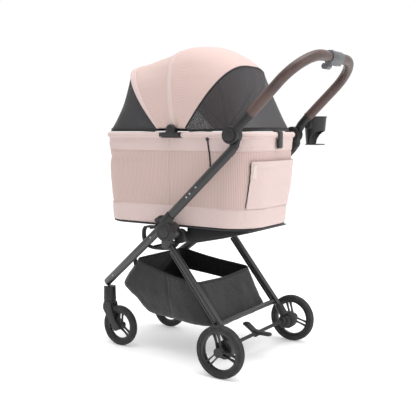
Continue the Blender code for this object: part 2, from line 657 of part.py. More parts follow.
def cup_holder():
    """Open-sided cup on the right arm."""
    y, top, bottom = 0.0740, 0.8740, 0.7670
    x = -0.2880
    profile = [(bottom, 0.0), (bottom, 0.0370), (bottom + 0.003, 0.0370), (bottom + 0.004, 0.0335),
               (top - 0.004, 0.0420), (top - 0.004, 0.0440), (top, 0.0440), (top, 0.0395),
               (bottom + 0.0035, 0.0305), (bottom + 0.0035, 0.0)]
    cup = lathe("cup_holder", profile, (x, y, 0), "Z", "plastic", 32)
    arc = [(y + 0.038 + 0.048 * math.cos(math.radians(a)), 0.772 + 0.048 * math.sin(math.radians(a)))
           for a in range(0, 181, 20)]
    scoop = prism("scoop", arc + [(y - 0.010, 0.7706), (y + 0.086, 0.7706)], x - 0.06, x + 0.06, "plastic")
    cup = cut(cup, [scoop])
    tongue = box("tongue", (-0.2520, y - 0.0100, 0.8290), (-0.2429, y + 0.0090, 0.8600), "plastic")
    trimmed = lathe("inside", [(bottom + 0.006, 0), (bottom + 0.006, 0.0300), (top + 0.01, 0.0395),
                               (top + 0.01, 0)], (x, y, 0), "Z", "plastic", 32)
    return cut(combine(cup, [tongue]), [trimmed])


# ---------------------------------------------------------------- carrier

def outline_points(half, front, rear, r_front, r_rear, steps=6, inset=0.0):
    """Rounded outline seen from above, starting at the rear of the left side, as (X, Y)."""
    half, front, rear = half - inset, front + inset, rear - inset
    corners = ((half - r_rear, rear - r_rear, r_rear, 0), (r_rear - half, rear - r_rear, r_rear, 90),
               (r_front - half, front + r_front, r_front, 180), (half - r_front, front + r_front, r_front, 270))
    points = []
    for x, y, radius, start in corners:
        for k in range(steps + 1):
            a = math.radians(start + 90 * k / steps)
            points.append((x + radius * math.cos(a), y + radius * math.sin(a)))
    return points


def outline_at(share, inset=0.0):
    """Outline between the base, share 0, and the rim, share 1."""
    mixed = {key: BOTTOM_OUTLINE[key] + (TOP_OUTLINE[key] - BOTTOM_OUTLINE[key]) * share for key in TOP_OUTLINE}
    return outline_points(**mixed, inset=inset)


def carrier_tub():
    """Fabric box of the carrier, open at the top."""
    top = RIM_Z - RIM_RADIUS - 0.001
    levels = [(BASE_Z, 0.0), (BASE_Z + 0.08, 0.25), (top - 0.02, 0.94), (top, 1.0)]
    bm = bmesh.new()
    rings = [[bm.verts.new((x, y, z)) for x, y in outline_at(share)] for z, share in levels]
    inside = [(z if i else BASE_Z + WALL, share) for i, (z, share) in enumerate(levels)]
    rings += [[bm.verts.new((x, y, z)) for x, y in outline_at(share, WALL)] for z, share in reversed(inside)]
    skin_rings(bm, rings)
    return object_from("carrier_tub", bm, "fabric")


def carrier_base():
    """Stiff black board under the fabric box."""
    bm = bmesh.new()
    rings = [[bm.verts.new((x, y, z)) for x, y in outline_at(0.0, inset)]
             for z, inset in ((0.4805, 0.006), (0.4835, 0.001), (BASE_Z - GAP, 0.001))]
    skin_rings(bm, rings)
    return object_from("carrier_base", bm, "basket")


def floor_mat():
    bm = bmesh.new()
    low = BASE_Z + WALL + GAP
    rings = [[bm.verts.new((x, y, z)) for x, y in outline_at(0.03, inset)]
             for z, inset in ((low, 0.014), (low + 0.004, 0.010), (low + 0.012, 0.010), (low + 0.015, 0.015))]
    skin_rings(bm, rings)
    return object_from("floor_mat", bm, "basket")


def carrier_rim():
    """Padded tube round the top of the box."""
    path = [(x, y, RIM_Z) for x, y in outline_at(1.0, 0.0)]
    return sweep("carrier_rim", path, round_section(RIM_RADIUS, RIM_RADIUS, 10), "fabric", closed=True, up=(0, 0, 1))


def canopy_bracket(side, label):
    """Black clamp on the rim with the round canopy hinge and its pin."""
    y, z = CANOPY_PIVOT
    low, high = 0.1962 * side, 0.2035 * side
    plate = prism("canopy_bracket_" + label, [(y - 0.048, 0.7990), (y + 0.036, 0.7990), (y + 0.036, 0.8130),
                                              (y + 0.022, 0.8130), (y + 0.016, 0.8200), (y - 0.016, 0.8200),
                                              (y - 0.022, 0.8130), (y - 0.048, 0.8130)], low, high, "plastic")
    knob = disc("knob", 0.1880 * side, 0.2050 * side, CANOPY_PIVOT, 0.0185, "plastic", edge=0.003)
    pin = disc("pin", 0.1600 * side, 0.1900 * side, CANOPY_PIVOT, 0.0040, "plastic", edge=0.0004, segments=16)
    made = combine(plate, [knob, pin])
    rim_space = sweep("space", [(x, yy, RIM_Z) for x, yy in outline_at(1.0, 0.0)],
                      round_section(RIM_RADIUS + GAP, RIM_RADIUS + GAP, 10), "plastic", closed=True, up=(0, 0, 1))
    return cut(made, [rim_space])


def arch(foot_y, lean, rise, squareness, half=ARCH_HALF, foot_z=ARCH_FOOT_Z, steps=16, lift=ARCH_LIFT):
    """Arch across the carrier, a superellipse in a leaning plane, from the left foot to the right one."""
    lean = math.radians(lean)
    trim = math.asin((lift / rise) ** (squareness / 2))
    points = []
    for k in range(steps + 1):
        a = trim + (math.pi - 2 * trim) * k / steps
        x = half * math.copysign(abs(math.cos(a)) ** (2 / squareness), math.cos(a))
        up = rise * abs(math.sin(a)) ** (2 / squareness)
        points.append(Vector((x, foot_y + up * math.sin(lean), foot_z + up * math.cos(lean))))
    return points


def between(one, two, share):
    return [a.lerp(b, share) for a, b in zip(one, two)]


def canopy_panel(name, arches, share_steps=2):
    rows = []
    for one, two in zip(arches, arches[1:]):
        rows += [between(arch(*one), arch(*two), k / share_steps) for k in range(share_steps)]
    rows.append(arch(*arches[-1]))
    return thick_sheet(name, rows, 0.0016, "fabric")


def shifted(spec, back):
    """An arch moved along the stroller and drawn in a little, so that neighbouring sheets stay apart."""
    return (spec[0] + back, spec[1], spec[2] - 0.002, spec[3])


def rim_line(front, count, inset=0.004):
    """Points on top of the rim, from the left foot of an arch round the front or the rear to the right."""
    foot = FRONT_ARCH[0] if front else REAR_ARCH[0]
    ring = [Vector((x, y, MESH_FOOT_Z)) for x, y in outline_at(1.0, inset)]
    keep = [p for p in ring if (p.y < foot if front else p.y > foot)]
    left = sorted((p for p in keep if p.x > 0), key=lambda p: p.y, reverse=front)
    half = TOP_OUTLINE["half"] - inset
    left = [Vector((half, foot, ring[0].z))] + left
    line = left + [mirror_x(p, -1) for p in reversed(left)]
    lengths = [0.0]
    for a, b in zip(line, line[1:]):
        lengths.append(lengths[-1] + (b - a).length)
    out = []
    for k in range(count):
        target = lengths[-1] * k / (count - 1)
        i = max(j for j in range(len(lengths) - 1) if lengths[j] <= target + 1e-9)
        share = (target - lengths[i]) / max(lengths[i + 1] - lengths[i], 1e-9)
        out.append(line[i].lerp(line[i + 1], min(share, 1.0)))
    return out


def mesh_panel(name, spec, front):
    """See-through panel from an end arch of the canopy down to the rim."""
    edge = arch(*shifted(spec, -0.0035 if front else 0.0035))
    line = rim_line(front, len(edge), 0.0025 if front else 0.0090)
    rows = [between(edge, line, k / 4) for k in range(5)]
    trimmed = [row[1:-1] for row in rows]
    return thick_sheet(name, trimmed, 0.0012, "mesh")


def canopy_bow(name, lean, rise, squareness, half):
    """Bent rod of the canopy, with an eye at each end on the hinge pins."""
    path = arch(CANOPY_PIVOT[0], lean, rise, squareness, half, CANOPY_PIVOT[1], 18, 0.0)
    bow = sweep(name, path, round_section(0.0020, 0.0020, 6), "plastic", up=(0, math.cos(math.radians(lean)),
                                                                         -math.sin(math.radians(lean))))
    eyes = [disc("eye", (half - 0.0021) * s, (half + 0.0021) * s, CANOPY_PIVOT, 0.0085, "plastic",
                 edge=0, segments=12) for s in (-1, 1)]
    bow = combine(bow, eyes)
    hole = disc("hole", -0.21, 0.21, CANOPY_PIVOT, 0.0040 + GAP, "plastic", edge=0, segments=12)
    return cut(bow, [hole])


def rear_pocket():
    """Flat sewn pocket on the rear wall, following its curve."""
    rows = []
    for z in (0.5450, 0.6000, 0.6600, 0.7180):
        share = (z - BASE_Z) / (RIM_Z - BASE_Z)
        ring = outline_at(share, -0.0009)
        rear = sorted(((x, y) for x, y in ring if y > -0.02 and abs(x) < 0.16), reverse=True)
        rows.append([Vector((x, y, z)) for x, y in rear])
    return thick_sheet("rear_pocket", rows, 0.0040, "fabric", inward=-1)


def rim_clip():
    """Black hook over the rear rim that holds the rear panel shut; it swings up."""
    y = TOP_OUTLINE["rear"]
    outline = [(y - 0.0100, 0.8162), (y - 0.0100, 0.8195), (y + 0.0110, 0.8195), (y + 0.0155, 0.8150),
               (y + 0.0155, 0.7620), (y + 0.0120, 0.7590), (y + 0.0060, 0.7590), (y + 0.0060, 0.7850),
               (y + 0.0104, 0.7920), (y + 0.0104, 0.8162)]
    return prism("rim_clip", outline, 0.0020, 0.0280, "plastic")


# ---------------------------------------------------------------- assembly

def build():
    stroller = empty("stroller", (0, 0, 0))
    axle_z = REAR_WHEEL["radius"]
    rear_frame = empty("rear_frame", (0, *REAR_PIVOT), stroller)
    push_frame = empty("push_frame", (0, *HUB), stroller)
    handle = empty("handle", (0, *HANDLE_HINGE), push_frame)
    carrier = empty("carrier", (0, HUB[0], BASE_Z), stroller)
    attach(stroller, carrier_cradle(), seat_tray(), storage_basket())
    attach(rear_frame, rear_cross_tube())
    brake = empty("brake", (0, *BRAKE_AXIS), rear_frame)
    attach(brake, brake_pedal())
    for label, side in SIDES:
        attach(stroller, front_leg(side, label), castor_head(side, label))
        castor = empty("castor_" + label, (CASTOR_X * side, CASTOR_Y, CASTOR_SPLIT), stroller)
        attach(castor, castor_fork(side, label))
        lock = empty("swivel_lock_axis_" + label, (CASTOR_X * side, CASTOR_Y - 0.020, 0.136), castor)
        attach(lock, swivel_lock(side, label))
        spin = empty("front_axle_" + label, (0, FRONT_WHEEL["y"], FRONT_WHEEL["radius"]), castor)
        make_wheel("front_wheel_" + label, FRONT_WHEEL, side, spin)
        attach(rear_frame, rear_leg(side, label), rear_foot(side, label))
        spin = empty("rear_axle_" + label, (0, 0, axle_z), rear_frame)
        make_wheel("rear_wheel_" + label, REAR_WHEEL, side, spin, capped=True)
        attach(push_frame, push_hub(side, label), hub_button(side, label), fold_latch(side, label),
               push_tube(side, label), hinge_base(side, label))
        attach(handle, handle_arm(side, label), hinge_button(side, label))
        attach(carrier, canopy_bracket(side, label))
    attach(handle, handle_bar(), grip_housing(), fold_button(), cup_holder())
    grip = handle_point(0, HANDLE_REACH)
    trigger = empty("trigger", (0, grip.y - 0.006, grip.z - 0.024), handle)
    attach(trigger, fold_trigger())
    attach(carrier, carrier_tub(), carrier_base(), floor_mat(), carrier_rim(), rear_pocket(), rim_clip())
    attach(carrier, mesh_panel("front_mesh", FRONT_ARCH, True), mesh_panel("rear_mesh", REAR_ARCH, False))
    attach(carrier, canopy_panel("canopy_rear_panel", [shifted(MIDDLE_ARCH, 0.0015), CROWN_ARCH, BACK_ARCH, REAR_ARCH]))
    attach(carrier, canopy_bow("canopy_bow_rear", 41.0, 0.279, 3.0, 0.1665))
    middle = empty("canopy_middle", (0, *CANOPY_PIVOT), carrier)
    attach(middle, canopy_bow("canopy_bow_middle", -9.3, 0.272, 3.2, 0.1715))
    front = empty("canopy_front", (0, *CANOPY_PIVOT), carrier)
    attach(front, canopy_panel("canopy_front_panel", [FRONT_ARCH, VALLEY_ARCH, shifted(MIDDLE_ARCH, -0.0015)]),
           canopy_bow("canopy_bow_front", -46.0, 0.330, 2.3, 0.1765))
    stroller.location = (MID_X, MID_Y, 0)


AXES = {}
clear_scene()
MATERIALS = make_materials()
build()
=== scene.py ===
"""Looks of the folding pet stroller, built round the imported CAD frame.

Metres, +Z up, front at -Y. Points are written in the stroller's own frame, whose Y is 0 at the rear
axle and whose X is 0 in the middle of the carrier; ORIGIN moves them into the row frame.
"""

import json
import math

import bmesh
import bpy
import numpy as np
from mathutils import Matrix, Vector, noise

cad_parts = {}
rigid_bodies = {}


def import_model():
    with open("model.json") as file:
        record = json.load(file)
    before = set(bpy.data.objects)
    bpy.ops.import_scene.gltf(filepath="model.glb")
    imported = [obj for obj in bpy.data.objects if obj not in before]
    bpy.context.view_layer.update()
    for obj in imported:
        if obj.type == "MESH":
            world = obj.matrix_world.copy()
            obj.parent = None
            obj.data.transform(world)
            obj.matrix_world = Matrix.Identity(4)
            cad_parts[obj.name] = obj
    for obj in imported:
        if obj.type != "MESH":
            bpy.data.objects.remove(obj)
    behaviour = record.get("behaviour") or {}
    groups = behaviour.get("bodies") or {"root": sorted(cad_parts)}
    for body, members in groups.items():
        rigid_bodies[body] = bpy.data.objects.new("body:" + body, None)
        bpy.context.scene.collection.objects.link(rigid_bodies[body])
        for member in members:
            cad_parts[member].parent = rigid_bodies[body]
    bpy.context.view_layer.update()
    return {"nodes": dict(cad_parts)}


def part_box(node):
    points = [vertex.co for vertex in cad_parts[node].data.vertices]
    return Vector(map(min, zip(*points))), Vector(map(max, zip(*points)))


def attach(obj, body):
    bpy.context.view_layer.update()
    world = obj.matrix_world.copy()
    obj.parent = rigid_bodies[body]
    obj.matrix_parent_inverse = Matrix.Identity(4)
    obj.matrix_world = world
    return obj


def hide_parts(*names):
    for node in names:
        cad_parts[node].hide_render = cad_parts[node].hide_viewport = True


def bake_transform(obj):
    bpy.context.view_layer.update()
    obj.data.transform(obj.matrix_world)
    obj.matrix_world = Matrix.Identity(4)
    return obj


for startup in list(bpy.data.objects):
    bpy.data.objects.remove(startup, do_unlink=True)

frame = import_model()
SIDES = (("left", 1), ("right", -1))


def middle_of(node):
    low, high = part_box(node)
    return (low + high) / 2


ORIGIN = np.array([middle_of("carrier_rim").x, middle_of("rear_wheel_left_tyre").y, 0.0])

# Carrier box
RIM_Z = middle_of("carrier_rim").z
RIM_RADIUS = (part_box("carrier_rim")[1].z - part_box("carrier_rim")[0].z) / 2
BASE_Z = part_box("carrier_tub")[0].z
TUB_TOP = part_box("carrier_tub")[1].z
TOP_OUTLINE = dict(half=0.1855, front=-0.583, rear=0.073, r_front=0.085, r_rear=0.112)
BOTTOM_OUTLINE = dict(half=0.174, front=-0.579, rear=0.052, r_front=0.085, r_rear=0.112)
HEM_Z = 0.7510  # lower edge of the smooth band under the rim
UPPER_ROW_Z = 0.7645  # second row of stitches in that band
BAND_Z = 0.5560  # upper edge of the smooth band round the bottom
SIDE_SEAM_Y = -0.2676

# Canopy arches: foot Y, lean in degrees, rise, squareness
FRONT_ARCH = (-0.311, -42.6, 0.322, 2.19)
VALLEY_ARCH = (-0.280, -26.0, 0.286, 2.60)
MIDDLE_ARCH = (-0.245, -9.3, 0.287, 3.10)
CROWN_ARCH = (-0.231, 6.0, 0.297, 3.00)
BACK_ARCH = (-0.214, 22.0, 0.289, 2.95)
REAR_ARCH = (-0.198, 36.0, 0.271, 2.95)
ARCH_HALF = 0.186
ARCH_FOOT_Z = 0.824
ARCH_LIFT = 0.0055
ARCH_POINTS = 121
NET_ROWS = 26
MESH_FOOT_Z = 0.8212

# Handlebar plane
HANDLE_START = (0.0587, 0.8517)
HANDLE_SLOPE = math.radians(44.1)
HANDLE_REACH = 0.297
HANDLE_CORNER = 0.126
HANDLE_HALF = 0.215
GRIP_RADIUS = 0.0172
GRIP_START = 0.0278  # lower end of the leather, up the slope
SEAM_ANGLE = -0.62  # where its seam runs, round the grip


# ---------------------------------------------------------------- finishes

class Finish:
    """A procedural material under construction."""

    def __init__(self, name, roughness=0.5, **inputs):
        self.material = bpy.data.materials.new(name)
        self.material.use_nodes = True
        self.nodes = self.material.node_tree.nodes
        self.links = self.material.node_tree.links
        self.shader = self.nodes["Principled BSDF"]
        self.shader.inputs["Roughness"].default_value = roughness
        for key, value in inputs.items():
            self.shader.inputs[key.replace("_", " ")].default_value = value

    def set(self, socket, value):
        if isinstance(value, bpy.types.NodeSocket):
            self.links.new(value, socket)
        elif isinstance(value, (tuple, list)) and len(value) == 3 and len(socket.default_value) == 4:
            socket.default_value = (*value, 1.0)
        else:
            socket.default_value = value

    def add(self, kind, **inputs):
        node = self.nodes.new("ShaderNode" + kind)
        for key, value in inputs.items():
            self.set(node.inputs[key.replace("_", " ")], value)
        return node

    def math(self, operation, a, b=0.0):
        node = self.nodes.new("ShaderNodeMath")
        node.operation = operation
        self.set(node.inputs[0], a)
        self.set(node.inputs[1], b)
        return node.outputs[0]

    def mix(self, share, a, b):
        node = self.nodes.new("ShaderNodeMix")
        node.data_type = "RGBA"
        self.set(node.inputs[0], share)
        self.set(node.inputs[6], a)
        self.set(node.inputs[7], b)
        return node.outputs[2]

    def noise(self, scale, detail=3.0, vector=None):
        node = self.add("TexNoise", Scale=scale, Detail=detail)
        self.set(node.inputs["Vector"], vector or self.place())
        return node.outputs["Fac"]

    def cells(self, scale):
        node = self.add("TexVoronoi", Scale=scale)
        self.set(node.inputs["Vector"], self.place())
        return node.outputs["Distance"]

    def place(self):
        return self.add("TexCoord").outputs["Object"]

    def range(self, value, low, high, to_low=0.0, to_high=1.0):
        node = self.add("MapRange")
        node.interpolation_type = "SMOOTHSTEP"
        for socket, v in zip(node.inputs, (value, low, high, to_low, to_high)):
            self.set(socket, v)
        return node.outputs[0]

    def cloth_axes(self):
        """Distance along the cloth's two directions, in metres."""
        node = self.nodes.new("ShaderNodeUVMap")
        node.uv_map = "cloth"
        split = self.add("SeparateXYZ", Vector=node.outputs[0])
        return split.outputs[0], split.outputs[1]

    def wave(self, value, pitch, shift=0.0):
        """A sine of the distance, from 0 to 1."""
        turned = self.math("ADD", self.math("MULTIPLY", value, 2 * math.pi / pitch), shift)
        return self.math("MULTIPLY", self.math("ADD", self.math("SINE", turned), 1.0), 0.5)

    def bump(self, height, depth, strength=1.0):
        node = self.add("Bump", Height=height, Distance=depth, Strength=strength)
        old = self.shader.inputs["Normal"]
        if old.is_linked:
            self.links.new(old.links[0].from_socket, node.inputs["Normal"])
        self.links.new(node.outputs[0], old)

    def colour(self, value):
        self.set(self.shader.inputs["Base Color"], value)

    def rough(self, value):
        self.set(self.shader.inputs["Roughness"], value)


def scaled(colour, factor):
    return tuple(min(c * factor, 1.0) for c in colour)


def knit(name, colour, pitch, course, contrast=0.24, depth=0.0006):
    """Ribbed knit: raised wales along the cloth's second direction, with rows of small stitches."""
    made = Finish(name, 0.92, Sheen_Weight=0.18, Sheen_Roughness=0.45)
    u, v = made.cloth_axes()
    wobble = made.math("MULTIPLY", made.math("SUBTRACT", made.noise(60.0, 2.0), 0.5), 0.0012)
    u = made.math("ADD", u, wobble)
    wale = made.wave(u, pitch)
    stitch = made.wave(v, course)
    offset = made.wave(v, course, math.pi)
    valley = made.math("SUBTRACT", 1.0, wale)
    between = made.math("MULTIPLY", valley, made.math("MULTIPLY", offset, 0.45))
    loops = made.math("ADD", made.math("MULTIPLY", wale, stitch), between)
    height = made.math("ADD", made.math("MULTIPLY", wale, 0.55), made.math("MULTIPLY", loops, 0.45))
    fuzz = made.noise(900.0, 2.0)
    patch = made.noise(14.0, 4.0)
    # The colour follows the knit's height, so the valleys between the wales are painted darker: painted
    # shade, mixed with random fuzz. contrast sets how much darker.
    shade = made.math("ADD", made.math("MULTIPLY", height, 0.72), made.math("MULTIPLY", fuzz, 0.28))
    tone = made.mix(made.range(shade, 0.18, 0.72), scaled(colour, 1.0 - contrast), scaled(colour, 1.06))
    made.colour(made.mix(made.range(patch, 0.30, 0.72, 0.0, 0.16), tone, scaled(colour, 0.86)))
    made.bump(height, depth)
    made.bump(fuzz, 0.0002, 0.6)
    return made.material


def weave(name, colour, pitch=0.0013, contrast=0.16, sheen=0.15, depth=0.00025, roughness=0.88):
    """Plain woven polyester: crossing threads, slight slubs and soft colour patches."""
    made = Finish(name, roughness, Sheen_Weight=sheen, Sheen_Roughness=0.4)
    u, v = made.cloth_axes()
    warp, weft = made.wave(u, pitch), made.wave(v, pitch)
    over = made.math("MULTIPLY", made.math("ADD", warp, weft), 0.5)
    slub = made.noise(240.0, 3.0)
    patch = made.noise(11.0, 4.0)
    # The colour follows the weave's height, so the low spots between the threads are painted darker:
    # painted shade, mixed with random slubs. contrast sets how much darker.
    shade = made.math("ADD", made.math("MULTIPLY", over, 0.6), made.math("MULTIPLY", slub, 0.4))
    tone = made.mix(made.range(shade, 0.25, 0.75), scaled(colour, 1.0 - contrast), scaled(colour, 1.05))
    made.colour(made.mix(made.range(patch, 0.30, 0.75, 0.0, 0.15), tone, scaled(colour, 0.84)))
    made.rough(made.range(slub, 0.2, 0.8, roughness - 0.06, roughness + 0.06))
    made.bump(over, depth)
    made.bump(slub, 0.0002, 0.5)
    return made.material


def netting(name, colour, pitch, open_share):
    """See-through warp-knitted mesh: staggered round holes between rounded threads."""
    made = Finish(name, 0.75, Sheen_Weight=0.1)
    u, v = made.cloth_axes()
    one = made.math("MULTIPLY", made.wave(u, pitch), made.wave(v, pitch))
    two = made.math("MULTIPLY", made.wave(u, pitch, math.pi), made.wave(v, pitch, math.pi))
    hole = made.math("MAXIMUM", one, two)
    thread = made.range(hole, open_share, open_share + 0.16, 1.0, 0.0)
    made.colour(made.mix(made.noise(500.0, 2.0), scaled(colour, 0.7), scaled(colour, 1.3)))
    made.set(made.shader.inputs["Alpha"], thread)
    made.bump(made.math("SUBTRACT", 1.0, hole), 0.0005)
    return made.material


def satin_metal(name, colour):
    """Black anodised tube: fine drawn grain, a soft coat and small handling marks."""
    made = Finish(name, 0.36, Coat_Weight=0.25, Coat_Roughness=0.28, Specular_IOR_Level=0.5)
    grain = made.noise(700.0, 3.0)
    marks = made.noise(34.0, 6.0)
    made.colour(made.mix(made.range(marks, 0.35, 0.75), colour, scaled(colour, 1.7)))
    rubbed = made.range(marks, 0.3, 0.8, 0.30, 0.46)
    made.rough(made.math("ADD", rubbed, made.math("MULTIPLY", grain, 0.06)))
    made.bump(grain, 0.00006, 0.6)
    return made.material


def moulded(name, colour, roughness=0.48, grain_scale=1100.0, depth=0.00012, specular=0.45):
    """Moulded plastic: spark-eroded grain, faint flow marks and slightly rubbed high spots."""
    made = Finish(name, roughness, Specular_IOR_Level=specular)
    grain = made.cells(grain_scale)
    flow = made.noise(22.0, 5.0)
    dust = made.noise(160.0, 4.0)
    tone = made.mix(made.range(flow, 0.3, 0.75), colour, scaled(colour, 1.55))
    made.colour(made.mix(made.range(dust, 0.58, 0.82, 0.0, 0.35), tone, scaled(colour, 2.1)))
    made.rough(made.range(flow, 0.25, 0.8, roughness - 0.08, roughness + 0.12))
    made.bump(grain, depth, 0.7)
    made.bump(dust, 0.0001, 0.3)
    return made.material


def foam_rubber(name, colour):
    """Tyre: matt skin with fine pores, and paler patches of wear and dirt."""
    made = Finish(name, 0.82, Specular_IOR_Level=0.35)
    pores = made.cells(1500.0)
    wear = made.noise(48.0, 6.0)
    dirt = made.noise(9.0, 5.0)
    tone = made.mix(made.range(wear, 0.42, 0.78), colour, scaled(colour, 1.9))
    made.colour(made.mix(made.range(dirt, 0.5, 0.85, 0.0, 0.5), tone, scaled(colour, 2.4)))
    made.rough(made.range(wear, 0.2, 0.8, 0.70, 0.92))
    made.bump(pores, 0.0002, 0.6)
    made.bump(wear, 0.0003, 0.4)
    return made.material


def hide(name, colour):
    """Smooth grained leather with creases between the pebbles and a slightly polished top. The pebble
    tops are painted lighter and the creases between them darker: painted light and shade.
    """
    made = Finish(name, 0.42, Coat_Weight=0.12, Coat_Roughness=0.35)
    pebble = made.cells(620.0)
    crease = made.cells(210.0)
    patch = made.noise(26.0, 5.0)
    fine = made.noise(1200.0, 3.0)
    # Pebble tops painted lighter and the creases between them darker: painted light and shade.
    tone = made.mix(made.range(pebble, 0.05, 0.75), scaled(colour, 1.15), scaled(colour, 0.70))
    made.colour(made.mix(made.range(patch, 0.30, 0.72), tone, scaled(colour, 1.45)))
    polish = made.range(patch, 0.25, 0.8, 0.34, 0.48)
    made.rough(made.math("ADD", polish, made.math("MULTIPLY", fine, 0.06)))
    made.bump(made.math("SUBTRACT", 1.0, pebble), 0.0003, 0.55)
    made.bump(crease, 0.0003, 0.25)
    return made.material


def thread_finish(name, colour):
    """Sewing thread with its twist."""
    made = Finish(name, 0.6, Sheen_Weight=0.2)
    twist = made.noise(2600.0, 2.0)
    made.colour(made.mix(twist, scaled(colour, 0.78), scaled(colour, 1.12)))
    made.bump(twist, 0.0001, 0.6)
    return made.material


def studio_floor(name):
    """Pale seamless paper, lit a little from below so that it stays white far away."""
    made = Finish(name, 0.9, Specular_IOR_Level=0.1, Emission_Strength=0.26)
    made.set(made.shader.inputs["Emission Color"], (1.0, 1.0, 1.0, 1.0))
    made.colour(made.mix(made.noise(1.5, 3.0), (0.93, 0.93, 0.93), (0.95, 0.95, 0.95)))
    return made.material


PINK = (0.620, 0.462, 0.425)
PINK_SMOOTH = (0.690, 0.545, 0.520)
KNIT = knit("knit_pink", PINK, 0.0060, 0.0034)
# The carrier's pink made 6% lighter for the canopy on top: painted light.
CANOPY = knit("canopy_pink", scaled(PINK, 1.06), 0.0052, 0.0040, 0.20)
SMOOTH = weave("weave_pink", PINK_SMOOTH, 0.0016)
# The carrier's pink at about half brightness, for the inside walls and the canopy's inner casing:
# painted shade.
PINK_IN_SHADE = weave("pink_painted_shade", (0.330, 0.235, 0.220), 0.0016)
BINDING = weave("binding_black", (0.020, 0.019, 0.021), 0.0014, 0.3)
BASKET = weave("basket_black", (0.0215, 0.0200, 0.0225), 0.0016, 0.25, 0.35, 0.0003, 0.82)
MAT = weave("mat_grey", (0.120, 0.112, 0.115), 0.0020, 0.25)
NET_FRONT = netting("net_front", (0.040, 0.038, 0.042), 0.0030, 0.52)
NET_REAR = netting("net_rear", (0.060, 0.056, 0.060), 0.0030, 0.40)
TUBE = satin_metal("tube_black", (0.0110, 0.0112, 0.0115))
PLASTIC = moulded("plastic_black", (0.0105, 0.0103, 0.0106))
SMALL_PLASTIC = moulded("plastic_trim", (0.0150, 0.0148, 0.0150), 0.36)
GREY = moulded("plastic_grey", (0.075, 0.078, 0.084), 0.42)
WHEEL = moulded("plastic_wheel", (0.0160, 0.0155, 0.0158), 0.34, 900.0)
TYRE = foam_rubber("tyre_black", (0.030, 0.029, 0.0285))
LEATHER = hide("leather_brown", (0.062, 0.034, 0.029))
THREAD = thread_finish("thread_pink", (0.56, 0.40, 0.36))
DARK_THREAD = thread_finish("thread_dark", (0.055, 0.045, 0.045))
STEEL = moulded("rivet_steel", (0.30, 0.30, 0.31), 0.32)
TAB = weave("tab_white", (0.74, 0.62, 0.58), 0.0014)


# ---------------------------------------------------------------- mesh making

def piece(name, points, faces, finish, body, uv=None, smooth=42.0):
    """Mesh object in the row frame from points in the stroller's frame, riding on a body."""
    mesh = bpy.data.meshes.new(name)
    mesh.from_pydata((np.asarray(points, float) + ORIGIN).tolist(), [], [list(f) for f in faces])
    mesh.update()
    if uv is not None:
        layer = mesh.uv_layers.new(name="cloth")
        layer.data.foreach_set("uv", np.asarray(uv, np.float32).ravel())
    mesh.shade_smooth()
    if smooth < 180:
        mesh.set_sharp_from_angle(angle=math.radians(smooth))
    mesh.materials.append(finish)
    made = bpy.data.objects.new(name, mesh)
    bpy.context.scene.collection.objects.link(made)
    if body:
        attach(made, body)
    return made


def grid_faces(rows, cols, around=False):
    """A grid's quads, with the row and the column that each one starts from."""
    last = cols if around else cols - 1
    i, j = np.meshgrid(np.arange(rows - 1), np.arange(last), indexing="ij")
    i, j = i.ravel(), j.ravel()
    k = (j + 1) % cols
    quads = [i * cols + j, i * cols + k, (i + 1) * cols + k, (i + 1) * cols + j]
    return np.stack(quads, axis=1), i, j


def run_lengths(points, axis, closed=False):
    """Distance travelled along one axis of a grid of points."""
    steps = np.linalg.norm(np.diff(points, axis=axis), axis=-1)
    if closed:
        last = np.linalg.norm(np.take(points, [0], axis) - np.take(points, [-1], axis), axis=-1)
        steps = np.concatenate([steps, last], axis=axis)
    start = np.zeros_like(np.take(steps, [0], axis))
    return np.concatenate([start, np.cumsum(steps, axis=axis)], axis=axis)


def grid_uv(points, around=False):
    """Cloth coordinates of a grid: along its rows from their middle, then across them, in metres."""
    u = run_lengths(points, 1, around)
    u = u - u[:, -1:] / 2
    v = run_lengths(points, 0)
    if around:
        v = np.concatenate([v, v[:, :1]], axis=1)
    return u, v


def corner_uv(u, v, i, j):
    """Cloth coordinates at the four corners of each quad."""
    corners = ((i, j), (i, j + 1), (i + 1, j + 1), (i + 1, j))
    return np.stack([np.stack([u[at], v[at]], -1) for at in corners], 1)


def surface_normals(points, around=False):
    """Unit normals of a grid of points."""
    across = np.gradient(points, axis=0)
    if around:
        along = np.roll(points, -1, axis=1) - np.roll(points, 1, axis=1)
    else:
        along = np.gradient(points, axis=1)
    n = np.cross(along, across)
    return n / np.maximum(np.linalg.norm(n, axis=-1, keepdims=True), 1e-12)


def cloth(name, points, thickness, finish, body, around=False, keep=None):
    """Sheet from a grid, given its thickness. keep drops faces where it is false."""
    rows, cols = points.shape[:2]
    faces, i, j = grid_faces(rows, cols, around)
    u, v = grid_uv(points, around)
    corners = corner_uv(u, v, i, j)
    if keep is not None:
        faces, corners = faces[keep[i, j]], corners[keep[i, j]]
    made = piece(name, points.reshape(-1, 3), faces, finish, None, corners, 60.0)
    solid = made.modifiers.new("thickness", "SOLIDIFY")
    solid.thickness = thickness
    settle(made)
    if body:
        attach(made, body)
    return made


def set_cloth_map(mesh, at):
    """Adds cloth coordinates given per point."""
    layer = mesh.uv_layers.new(name="cloth")
    loops = np.array([loop.vertex_index for loop in mesh.loops])
    layer.data.foreach_set("uv", at[loops].astype(np.float32).ravel())


def settle(obj):
    """Applies an object's modifiers to its mesh."""
    graph = bpy.context.evaluated_depsgraph_get()
    mesh = bpy.data.meshes.new_from_object(obj.evaluated_get(graph))
    obj.modifiers.clear()
    obj.data = mesh


def bend(obj, weights):
    """Bakes a sheet's placement into its points and checks that they make whole layers of the weights'
    rows: the sheet's back layer repeats its front one.
    """
    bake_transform(obj)
    layers = len(obj.data.vertices) // len(weights)
    assert layers * len(weights) == len(obj.data.vertices), obj.name


